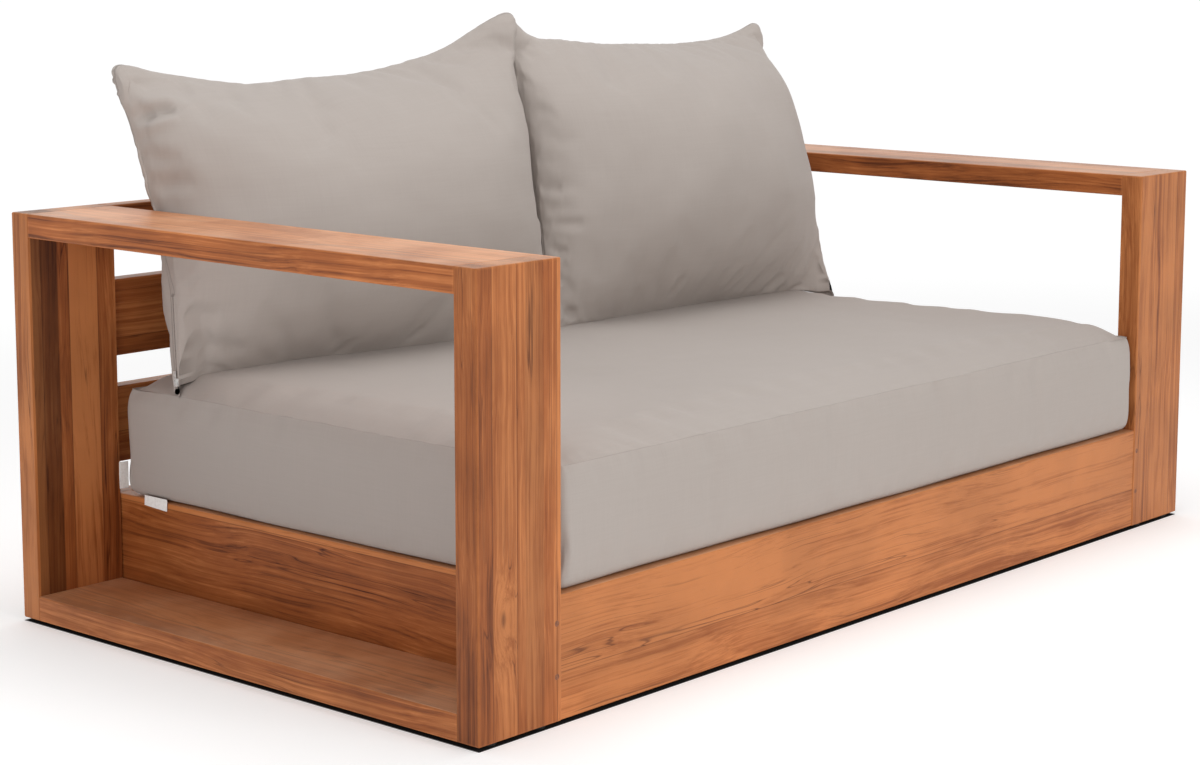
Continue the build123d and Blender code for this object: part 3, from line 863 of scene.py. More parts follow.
@dataclass
class Studio:
    """A pale floor that fades into a white backdrop, soft lamps and the camera."""

    floor_half: float = 40.0
    floor_colour: Colour = (0.86, 0.86, 0.86)
    covered: tuple[float, float] = (0.8725, 0.468)
    covered_edge: tuple[float, float] = (0.998, 1.002)
    # Nearly black colour of the painted shadow on the floor under the object
    covered_colour: Colour = (0.03, 0.03, 0.03)
    near_glow: Colour = (0.24, 0.24, 0.24)
    fade_start: float = 1.3
    fade_end: float = 3.4
    white: float = 1.02
    sky: float = 0.36
    back_sky: float = 1.15
    back_direction: tuple[float, float, float] = (0.72, 0.62, 0.1)
    lamps: tuple[SoftBox, ...] = (
        SoftBox("key_lamp", (-0.3, -4.8, 2.3), (0.0, 0.0, 0.35), 2.6, 79.0, (1.0, 0.985, 0.965)),
        SoftBox("top_lamp", (-0.2, -0.2, 3.6), (0.0, 0.0, 0.3), 2.6, 53.0),
        SoftBox("left_lamp", (-4.2, -1.0, 1.5), (0.0, 0.0, 0.3), 1.8, 31.0, (0.98, 0.99, 1.0)),
    )

    def floor_material(self) -> bpy.types.Material:
        """A matt floor that glows white further out, with a painted shadow where the object covers it.

        Returns:
            The material.
        """
        material, tree, shader = start_material("pale_floor")
        place = tree.node("TexCoord").outputs["Object"]
        distance = tree.length(tree.stretched(place, (0.8, 1.0, 1.0)))
        glow = tree.ease(distance, self.fade_start, self.fade_end)
        # Painted shadow: inside the object's plan the floor is nearly black and does not glow, so the gap
        # under the frame reads dark
        shares = tree.stretched(place, (1 / self.covered[0], 1 / self.covered[1], 0.0))
        reach = tree.node("VectorMath", {0: shares}, operation="ABSOLUTE").outputs[0]
        reach_x, reach_y, _ = tree.split(reach)
        bare = tree.ease(tree.math("MAXIMUM", reach_x, reach_y), *self.covered_edge)
        ground = tree.mix(bare, self.covered_colour, self.floor_colour)
        tree.put(shader.inputs["Base Color"], tree.mix(glow, ground, (0.0, 0.0, 0.0)))
        shader.inputs["Roughness"].default_value = 1.0
        shader.inputs["Specular IOR Level"].default_value = 0.0
        base_glow = tree.mix(bare, (0.0, 0.0, 0.0), self.near_glow)
        tree.put(shader.inputs["Emission Color"], tree.mix(glow, base_glow, (1.0, 1.0, 1.0)))
        shader.inputs["Emission Strength"].default_value = self.white
        return material

    def sky_world(self) -> bpy.types.World:
        """A weak sky, stronger behind the object, that looks white where the camera sees it.

        Returns:
            The world.
        """
        world = bpy.data.worlds.new("studio_sky")
        world.use_nodes = True
        tree = Tree(world.node_tree)
        background = world.node_tree.nodes["Background"]
        seen = tree.node("LightPath").outputs["Is Camera Ray"]
        direction = tree.node("TexCoord").outputs["Generated"]
        facing = tree.node("VectorMath", {0: direction, 1: self.back_direction}, operation="DOT_PRODUCT")
        sky = tree.ease(facing.outputs["Value"], 0.0, 0.95, self.sky, self.back_sky)
        strength = tree.add(sky, tree.mul(seen, tree.sub(self.white, sky)))
        background.inputs["Color"].default_value = (1.0, 1.0, 1.0, 1.0)
        tree.put(background.inputs["Strength"], strength)
        return world

    def build(self) -> None:
        """Add floor, sky, lamps and camera."""
        half = self.floor_half
        corners = np.array([[-half, -half, 0], [half, -half, 0], [half, half, 0], [-half, half, 0]])
        floor = new_mesh_object("floor", corners, np.array([[0, 1, 2, 3]]))
        floor.data.materials.append(self.floor_material())
        scene = bpy.context.scene
        scene.world = self.sky_world()
        scene.view_settings.view_transform = "Standard"
        for lamp in self.lamps:
            lamp.build()
        PhotoCamera().build()


def dress_node(node: str, material: bpy.types.Material) -> None:
    """Give a node one material in place of its packed ones.

    Args:
        node: The node's name.
        material: The material.
    """
    mesh = frame["nodes"][node].data
    mesh.materials.clear()
    mesh.materials.append(material)
    LOG.info("dressed %s", node)


# Wooden frame


@dataclass(frozen=True)
class Plank:
    """One plank's grain: its axes, its glued strips, its shade, its knot, and boards of their own tone.

    Each board is where it starts and ends across the plank, and the factor of its brightness.
    """

    node: str
    grain: Axis
    across: Axis
    seed: float
    strip_width: float = 0.06
    shade: float = 1.0
    knot: Place = (0.0, 0.0, 0.0)
    knot_size: float = 0.0
    boards: tuple[tuple[float, float, float], ...] = ()

    @property
    def through(self) -> Axis:
        """The axis through the plank's thickness."""
        return next(axis for axis in Axis if axis not in (self.grain, self.across))


@dataclass
class WoodFrame:
    """The hoops, seat box, back, deck and fasteners of the frame."""

    finish: WoodFinish = WoodFinish()
    deck_finish: WoodFinish = WoodFinish(
        srgb(198, 130, 88), srgb(154, 88, 52), strip_tone=0.9, wear_share=0.2
    )
    planks: tuple[Plank, ...] = (
        Plank("left_front_post", Axis.Z, Axis.X, 3.37, 0.05, 0.93, (0.155, 0.045, 0.0), 0.008,
              ((0.084, 0.118, 0.84), (0.118, 0.16, 1.1))),
        Plank("left_rear_post", Axis.Z, Axis.X, 7.71, 0.05, 0.86, boards=((0.003, 0.048, 0.5),)),
        Plank("right_front_post", Axis.Z, Axis.X, 12.13, 0.06, 0.86),
        Plank("right_rear_post", Axis.Z, Axis.X, 15.4, 0.06),
        Plank("left_arm", Axis.Y, Axis.X, 21.9, 0.07, 1.12),
        Plank("right_arm", Axis.Y, Axis.X, 25.2, 0.07),
        Plank("left_bottom_rail", Axis.Y, Axis.X, 31.6, 0.09, 0.93),
        Plank("right_bottom_rail", Axis.Y, Axis.X, 36.1, 0.09),
        Plank("front_apron", Axis.X, Axis.Z, 41.3, 0.11, 0.93, boards=((-0.01, 0.041, 1.08),)),
        Plank("rear_apron", Axis.X, Axis.Z, 46.8, 0.11),
        Plank("left_side_panel", Axis.Y, Axis.Z, 52.5, 0.1, 1.0),
        Plank("right_side_panel", Axis.Y, Axis.Z, 57.7, 0.1),
        Plank("top_back_rail", Axis.X, Axis.Z, 61.2, 0.08),
        Plank("middle_back_slat", Axis.X, Axis.Z, 66.4, 0.09, 0.9),
        Plank("lower_back_slat", Axis.X, Axis.Z, 72.6, 0.09, 0.9),
    )

    def dress(self) -> None:
        """Give every wooden node and fastener its material."""
        for plank in self.planks:
            dress_node(plank.node, self.finish.material(f"wood_{plank.node}", plank))
        nodes = sorted(frame["nodes"])
        for number, node in enumerate(name for name in nodes if name.startswith("deck_slat")):
            plank = Plank(node, Axis.Y, Axis.X, 80.3 + 1.7 * number, 0.2, 0.97)
            dress_node(node, self.deck_finish.material(f"wood_{node}", plank))
        inner = [name for name in nodes if "cleat" in name or "bearer" in name or "corner_block" in name]
        for number, node in enumerate(inner):
            upright = "corner_block" in node
            grain, across = (Axis.Z, Axis.X) if upright else (Axis.X, Axis.Z)
            if node.endswith("bearer_block"):
                grain, across = Axis.Y, Axis.Z
            plank = Plank(node, grain, across, 120.9 + 2.3 * number, 0.2, 0.95)
            dress_node(node, self.deck_finish.material(f"wood_{node}", plank))
        end_grain = HardFinish(srgb(140, 86, 56), srgb(104, 58, 36), 0.55, 0.0, 420.0, 0.0001)
        for node in ("apron_pegs", "hoop_dowels"):
            dress_node(node, end_grain.material(f"end_grain_{node}"))
        zinc = HardFinish(srgb(188, 188, 182), srgb(150, 150, 146), 0.36, 1.0, 260.0)
        for node in ("deck_screws", "frame_screws"):
            dress_node(node, zinc.material(f"zinc_{node}"))
        nylon = HardFinish(srgb(26, 26, 27), srgb(44, 44, 44), 0.5, 0.0, 200.0)
        dress_node("floor_glides", nylon.material("black_nylon"))


# Cushions

FAR_FROM_SEAM = 0.05
BUMP_SEED = 5
HEM_SEED = 8
PILLOW_SEEDS = {Side.LEFT: 11, Side.RIGHT: 23}


@dataclass(frozen=True)
class Stuffing:
    """Fills a closed cover by a short cloth simulation under pressure."""

    pressure: float = 4.0
    frames: int = 20
    cap: float = 0.022
    shrink: float = -0.02
    stiffness: float = 18.0
    bending: float = 0.6
    pin: float = 0.9
    quality: int = 5
    mass: float = 0.25

    def fill(self, item: bpy.types.Object, held: np.ndarray, freedom: np.ndarray | float = 1.0) -> None:
        """Swell a cover and keep the result, with no point moved further than the cap.

        Args:
            item: The cover, a closed mesh.
            held: How firmly each vertex is held, from 0 to 1.
            freedom: Share of the cap that each vertex may move by.
        """
        start = vertex_array(item)
        group = item.vertex_groups.new(name="held")
        for level in np.unique(np.round(held, 1)):
            chosen = np.flatnonzero(np.round(held, 1) == level)
            group.add(chosen.tolist(), float(level), "REPLACE")
        modifier = item.modifiers.new("stuffing", "CLOTH")
        settings = modifier.settings
        settings.quality = self.quality
        settings.mass = self.mass
        settings.tension_stiffness = settings.compression_stiffness = self.stiffness
        settings.shear_stiffness = self.stiffness / 2
        settings.bending_stiffness = self.bending
        settings.use_pressure = True
        settings.uniform_pressure_force = self.pressure
        settings.shrink_min = self.shrink
        settings.vertex_group_mass = "held"
        settings.pin_stiffness = self.pin
        settings.effector_weights.gravity = 0.0
        modifier.collision_settings.use_collision = False
        modifier.point_cache.frame_start = 1
        modifier.point_cache.frame_end = self.frames
        scene = bpy.context.scene
        for number in range(1, self.frames + 1):
            scene.frame_set(number)
        graph = bpy.context.evaluated_depsgraph_get()
        swollen = vertex_array(item.evaluated_get(graph))
        item.modifiers.clear()
        item.vertex_groups.clear()
        scene.frame_set(1)
        moved = swollen - start
        reach = np.linalg.norm(moved, axis=1, keepdims=True)
        cap = self.cap * np.broadcast_to(freedom, len(start))[:, None]
        set_places(item, start + moved * np.minimum(1.0, cap / np.maximum(reach, 1e-9)))
        mean, most = 1000 * reach.mean(), 1000 * reach.max()
        LOG.info("filled %s, mean move %.1f mm, most %.1f mm", item.name, mean, most)


@dataclass(frozen=True)
class Crease:
    """A soft fold in a cushion's cover, between two pixels of the photograph that it is seen at."""

    start_pixel: tuple[float, float]
    end_pixel: tuple[float, float]
    depth: float
    width: float

    def press(self, item: bpy.types.Object) -> None:
        """Press the fold into a cover.

        The cover sinks along its normals by the depth, falling off with the distance from the fold's line
        as a bell, and swells by a third beside it. The fold runs out towards its two ends.

        Args:
            item: The cover, with its final shape apart from folds.
        """
        camera = PhotoCamera()
        ends = []
        for pixel in (self.start_pixel, self.end_pixel):
            origin, direction = camera.ray(pixel)
            hit, place, _, _ = item.ray_cast(origin, direction)
            if hit:
                ends.append(np.array(place))
        if len(ends) < 2:
            LOG.warning("a fold at %s misses %s", self.start_pixel, item.name)
            return
        places = vertex_array(item)
        normals = vertex_array(item, "normal")
        line = ends[1] - ends[0]
        share = np.clip((places - ends[0]) @ line / (line @ line), 0, 1)
        gap = np.linalg.norm(places - (ends[0] + share[:, None] * line), axis=1)
        fade = 1 - (2 * share - 1) ** 4 * 0.8
        sink = -self.depth * np.exp(-((gap / self.width) ** 2))
        swell = self.depth / 3 * np.exp(-(((gap - 2 * self.width) / (1.1 * self.width)) ** 2))
        set_places(item, places + normals * ((sink + swell) * fade)[:, None])


@dataclass(frozen=True)
class Nudge:
    """A part of a cover shifted as a hand would, by a bell round its centre."""

    centre: Place
    shift: Place
    radius: float

    def press(self, item: bpy.types.Object) -> None:
        """Shift the cover.

        Args:
            item: The cover.
        """
        places = vertex_array(item)
        gap = np.linalg.norm(places - self.centre, axis=1)
        set_places(item, places + np.exp(-((gap / self.radius) ** 2))[:, None] * np.array(self.shift))


@dataclass(frozen=True)
class ZipLine:
    """Where a zip lies on its cushion: its start, its directions along, across and outward, its length."""

    start: np.ndarray
    along: np.ndarray
    across: np.ndarray
    outward: np.ndarray
    length: float
    under_tape: float = 0.0001
    allowed_rise: float = 0.001

    @classmethod
    def of(cls, name: str) -> "ZipLine":
        """Read a zip's line from its packed tape and its slider's joint.

        Args:
            name: The zip's name: left, right or seat.

        Returns:
            The line.
        """
        joint = next(row for row in frame["joints"] if row["name"] == f"{name}_zip_slide")
        along = np.array(joint["axis"], float)
        outward = np.array({"left": [-1, 0, 0], "right": [1, 0, 0], "seat": [0, 1, 0]}[name], float)
        across = np.cross(outward, along)
        places = vertex_array(frame["nodes"][f"{name}_zip_tape"])
        low = [(places @ axis).min() for axis in (along, across, outward)]
        high = [(places @ axis).max() for axis in (along, across, outward)]
        start = along * low[0] + across * (low[1] + high[1]) / 2 + outward * low[2]
        return cls(start, along, across, outward, high[0] - low[0])

    def share_beside(self, local: np.ndarray, flat: float, fade: float) -> np.ndarray:
        """How much each place counts as beside the line, by a smooth step down.

        Args:
            local: Places from the line's start.
            flat: How far from the line the share is one.
            fade: Over how much more it goes to none.

        Returns:
            A share from 0 to 1 for each place.
        """
        run, off = local @ self.along, local @ self.across
        gap = np.hypot(off, np.maximum(0, np.maximum(-run, run - self.length)))
        share = np.clip(1 - (gap - flat) / fade, 0, 1)
        return share**2 * (3 - 2 * share)

    def bed(
        self, item: bpy.types.Object, flat: float = 0.0045, fade: float = 0.02, deep: float = 0.03
    ) -> None:
        """Fill a cover out to the zip: flat beside the line, then back to its own shape.

        Args:
            item: The cover.
            flat: How far from the line the cover is flat.
            fade: Over how much more it goes back.
            deep: How far under the line the cover still counts.
        """
        places = vertex_array(item)
        local = places - self.start
        out = local @ self.outward
        share = self.share_beside(local, flat, fade) * (out > -deep)
        set_places(item, places - (share * (out + self.under_tape))[:, None] * self.outward)

    def clear(self, item: bpy.types.Object, flat: float, fade: float) -> None:
        """Press back what stands out beside the line, so that the pull has room to turn over.

        Args:
            item: The cover.
            flat: How far from the line the room reaches.
            fade: Over how much more the cover goes back to its own shape.
        """
        places = vertex_array(item)
        local = places - self.start
        proud = np.maximum(0, local @ self.outward - self.allowed_rise)
        share = self.share_beside(local, flat, fade)
        set_places(item, places - (share * proud)[:, None] * self.outward)


def panel_gaps(grid: np.ndarray) -> tuple[np.ndarray, np.ndarray]:
    """Distances on a panel of cloth: the run along the nearest edge, and the gap to it.

    Steps between neighbours are added up along both parameters, so each point knows how far it lies from
    all four edges. The smallest of the four is the gap, and the sum along the other parameter is the run.

    Args:
        grid: The panel's points on a grid of two parameters.

    Returns:
        The run and the gap of each point.
    """
    steps_u = np.linalg.norm(np.diff(grid, axis=0), axis=2)
    steps_v = np.linalg.norm(np.diff(grid, axis=1), axis=2)
    from_left = np.concatenate([np.zeros((1, grid.shape[1])), np.cumsum(steps_u, axis=0)], axis=0)
    from_low = np.concatenate([np.zeros((grid.shape[0], 1)), np.cumsum(steps_v, axis=1)], axis=1)
    gap_u = np.minimum(from_left, from_left[-1:] - from_left)
    gap_v = np.minimum(from_low, from_low[:, -1:] - from_low)
    return np.where(gap_u < gap_v, from_low, from_left), np.minimum(gap_u, gap_v)


def border(grid: np.ndarray) -> np.ndarray:
    """The entries round the rim of a grid, once each, in order."""
    return np.concatenate([grid[:-1, 0], grid[-1, :-1], grid[:0:-1, -1], grid[0, :0:-1]])


@dataclass
class SeatCushion:
    """The boxed seat cushion: a crowned top, a band round the sides and a flat underside."""

    cloth: bpy.types.Material
    node: str = "seat_cushion"
    across_count: int = 125
    deep_count: int = 81
    band_count: int = 17
    station_power: float = 1.5
    corner_radius: float = 0.011
    seam_height: float = 0.334
    foot_rise: float = 0.007
    side_bulge: float = 0.0072
    bulge_power: float = 6.0
    crown: float = 0.021
    shoulder: float = 0.055
    front_lip: float = 0.004
    side_drop: float = 1.4
    soft_height: float = 0.05
    bumps: tuple[Ripples, ...] = (Ripples(0.0014, 0.24, 24), Ripples(0.0003, 0.07, 30))
    hem: Ripples = Ripples(1.0, 0.3, 12)
    hem_lift: float = 0.0012
    hem_height: float = 0.02
    hem_reach: float = 0.04
    nudges: tuple[Nudge, ...] = (
        Nudge((-0.715, 0.41, 0.3), (-0.003, 0.006, 0.0), 0.055),
        Nudge((-0.715, 0.41, 0.195), (-0.003, 0.007, 0.0), 0.055),
    )
    box: tuple[Vector, Vector] = field(init=False)
    half_width: float = field(init=False)
    half_depth: float = field(init=False)
    middle_y: float = field(init=False)
    bottom: float = field(init=False)
    item: bpy.types.Object = field(init=False)

    def __post_init__(self) -> None:
        """Take the outer size from the frame."""
        self.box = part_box(self.node)
        low, high = self.box
        self.half_width = (high.x - low.x) / 2 - self.side_bulge
        self.half_depth = (high.y - low.y) / 2 - self.side_bulge
        self.middle_y = (high.y + low.y) / 2
        self.bottom = low.z

    def stations(self, count: int) -> np.ndarray:
        """Shares from -1 to 1 that crowd towards both ends, by a power of the gap to the end."""
        even = np.linspace(-1, 1, count)
        return np.sign(even) * (1 - (1 - np.abs(even)) ** self.station_power)

    def crown_at(self, across: np.ndarray, deep: np.ndarray) -> np.ndarray:
        """Rise of the top over its seam.

        Towards each side it falls by the square of the way into the shoulder, and the two falls multiply.

        Args:
            across: Place along the seat, from the middle.
            deep: Place along the depth, from the middle.

        Returns:
            The rise in metres.
        """
        beyond_x = np.clip((np.abs(across) - self.half_width) / self.shoulder + 1, 0, 1)
        beyond_y = np.clip((np.abs(deep) - self.half_depth) / self.shoulder + 1, 0, 1)
        return self.crown * (1 - beyond_x**2) * (1 - beyond_y**2)

    def plan(self) -> tuple[np.ndarray, np.ndarray]:
        """A grid over the cushion's plan, a rectangle with round corners.

        In each corner square, u and v are the shares of the way out along X and Y. They become
        u times the root of one less half of v squared, and the same with u and v changed round, which
        turns the square into a quarter of a disc.

        Returns:
            X and Y from the middle.
        """
        s, t = np.meshgrid(self.stations(self.across_count), self.stations(self.deep_count), indexing="ij")
        x, y, radius = self.half_width * s, self.half_depth * t, self.corner_radius
        u = np.clip((np.abs(x) - self.half_width) / radius + 1, 0, 1)
        v = np.clip((np.abs(y) - self.half_depth) / radius + 1, 0, 1)
        x = x - np.sign(x) * radius * u * (1 - np.sqrt(1 - v**2 / 2))
        y = y - np.sign(y) * radius * v * (1 - np.sqrt(1 - u**2 / 2))
        return x, y

    def sew(self) -> None:
        """Make and fill the cover: two panels and a band that share their rims.

        The underside is the top's plan, smaller by the rise of its rounded foot. The band goes from its
        rim to the top's by shares of the height, which crowd towards both seams. It comes out from under
        the cushion by a quarter of a circle, and bulges by one less a power of the way from its middle.
        """
        x, y = self.plan()
        top = np.stack([x, self.middle_y + y, self.seam_height + self.crown_at(x, y)], axis=-1)
        low = np.stack([x, self.middle_y + y, np.full_like(x, self.bottom)], axis=-1)
        centre = np.array([0.0, self.middle_y])
        smaller = 1 - self.foot_rise / np.array([self.half_width, self.half_depth])
        low[..., :2] = centre + (low[..., :2] - centre) * smaller
        rim_top, rim_low = border(top), border(low)
        run = np.roll(rim_top, -1, axis=0) - np.roll(rim_top, 1, axis=0)
        outward = np.stack([run[:, 1], -run[:, 0], np.zeros(len(run))], axis=1)
        outward /= np.linalg.norm(outward, axis=1, keepdims=True)
        share = (1 - np.cos(np.linspace(0, math.pi, self.band_count)[1:-1])) / 2
        height = self.seam_height - self.bottom
        rounded = np.sqrt(np.clip(1 - (1 - np.minimum(1, share * height / self.foot_rise)) ** 2, 0, 1))
        bulge = self.side_bulge * (1 - np.abs(2 * share - 1) ** self.bulge_power)
        way_up = np.stack([rounded, rounded, share], axis=1)
        band = rim_low[None] + (rim_top - rim_low)[None] * way_up[:, None]
        band += outward[None] * bulge[:, None, None]

        grid = np.arange(top[..., 0].size).reshape(top.shape[:2])
        count = grid.size
        low_grid = grid + count
        band_index = 2 * count + np.arange(band[..., 0].size).reshape(band.shape[:2])
        rows = np.concatenate([border(low_grid)[None], band_index, border(grid)[None]], axis=0)
        rows = np.concatenate([rows, rows[:, :1]], axis=1)
        points = np.concatenate([top.reshape(-1, 3), low.reshape(-1, 3), band.reshape(-1, 3)])
        faces = np.concatenate([grid_faces(grid), grid_faces(low_grid, True), grid_faces(rows, True)])
        self.item = new_mesh_object("seat_cushion_cover", points, faces)

        run_top, gap_top = panel_gaps(top)
        rim_run = np.concatenate([[0], np.cumsum(np.linalg.norm(np.diff(rim_top, axis=0), axis=1))])
        down = self.seam_height - band[..., 2]
        up = np.abs(band[..., 2] - (self.bottom + self.foot_rise))
        band_seam = np.stack([np.broadcast_to(rim_run, down.shape), np.minimum(down, up + 0.0001)], axis=-1)
        seam = np.concatenate([
            np.stack([run_top, gap_top], axis=-1).reshape(-1, 2),
            np.full((count, 2), FAR_FROM_SEAM),
            band_seam.reshape(-1, 2),
        ])
        set_vectors(self.item, "seam", np.concatenate([seam, np.zeros((len(seam), 1))], axis=1))

        held = np.zeros(len(points))
        held[count:2 * count] = 1.0
        held[border(grid)] = 0.8
        held[rows[:3].ravel()] = 1.0
        Stuffing(pressure=1.2, cap=0.005, shrink=-0.01).fill(self.item, held)

    def soften(self) -> None:
        """Break up the cover with soft bumps above its foot, and lift its hem from the deck in places."""
        places = vertex_array(self.item)
        normals = vertex_array(self.item, "normal")
        above = np.clip((places[:, 2] - self.bottom) / self.soft_height, 0, 1)
        soft = sum(ripples.at(places, BUMP_SEED + number) for number, ripples in enumerate(self.bumps))
        places += normals * (soft * above)[:, None]
        near_deck = np.exp(-(((places[:, 2] - self.bottom) / self.hem_height) ** 2))
        lift = self.hem_lift * (1 + self.hem.at(places * [1, 1, 0], HEM_SEED)) * near_deck
        edge = np.maximum(
            np.abs(places[:, 0]) - self.half_width, np.abs(places[:, 1] - self.middle_y) - self.half_depth
        )
        places[:, 2] += lift * np.clip(1 + edge / self.hem_reach, 0, 1)
        set_places(self.item, places)

    def build(self) -> None:
        """Make the cushion: sewn and filled, softened, pressed in places and dressed."""
        self.sew()
        self.settle()
        subdivide(self.item)
        self.soften()
        self.settle()
        for nudge in self.nudges:
            nudge.press(self.item)
        ZipLine.of("seat").bed(self.item)
        add_cloth_map(self.item)
        self.item.data.materials.append(self.cloth)
        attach(self.item, "seat_cushion")
        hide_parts(self.node)
        LOG.info("built %s", self.item.name)

    def settle(self) -> None:
        """Keep the cover above the deck, between the hoops and in its solid's depth."""
        places = vertex_array(self.item)
        low, high = self.box
        places[:, 0] = np.clip(places[:, 0], low.x, high.x)
        places[:, 1] = np.clip(places[:, 1], low.y - self.front_lip, high.y)
        places[:, 2] = np.maximum(places[:, 2], self.bottom)
        set_places(self.item, places)

    def top_at(self, x: np.ndarray, y: np.ndarray) -> np.ndarray:
        """Height of the top at places in plan, which drops beyond the seam."""
        beyond = np.maximum(0, np.abs(x) - self.half_width)
        return self.seam_height + self.crown_at(x, y - self.middle_y) - self.side_drop * beyond


def arc(start: np.ndarray, corner: np.ndarray, end: np.ndarray, weight: float, count: int) -> np.ndarray:
    """Rational quadratic curves: two ends and a corner that pulls the curve by its weight.

    Args:
        start, corner, end: Points, one row for each curve.
        weight: Pull of the corners, 0.7 for a quarter of an ellipse.
        count: Points on each curve.

    Returns:
        The points, by curve and place along it.
    """
    t = np.linspace(0, 1, count)[None, :, None]
    parts = (1 - t) ** 2, 2 * weight * t * (1 - t), t**2
    top = parts[0] * start[:, None] + parts[1] * corner[:, None] + parts[2] * end[:, None]
    return top / (parts[0] + parts[1] + parts[2])


def through(knots: Knots, share: np.ndarray) -> np.ndarray:
    """A smooth curve through knots: cubic pieces with Catmull-Rom slopes.

    Args:
        knots: The share and the value of each knot.
        share: Where to evaluate the curve.

    Returns:
        The curve's values.
    """
    at, value = np.array(knots, float).T
    slope = np.gradient(value, at)
    part = np.clip(np.searchsorted(at, share, side="right") - 1, 0, len(at) - 2)
    width = at[part + 1] - at[part]
    t = (share - at[part]) / width
    first = (2 * t**3 - 3 * t**2 + 1) * value[part] + (t**3 - 2 * t**2 + t) * width * slope[part]
    last = (3 * t**2 - 2 * t**3) * value[part + 1] + (t**3 - t**2) * width * slope[part + 1]
    return first + last


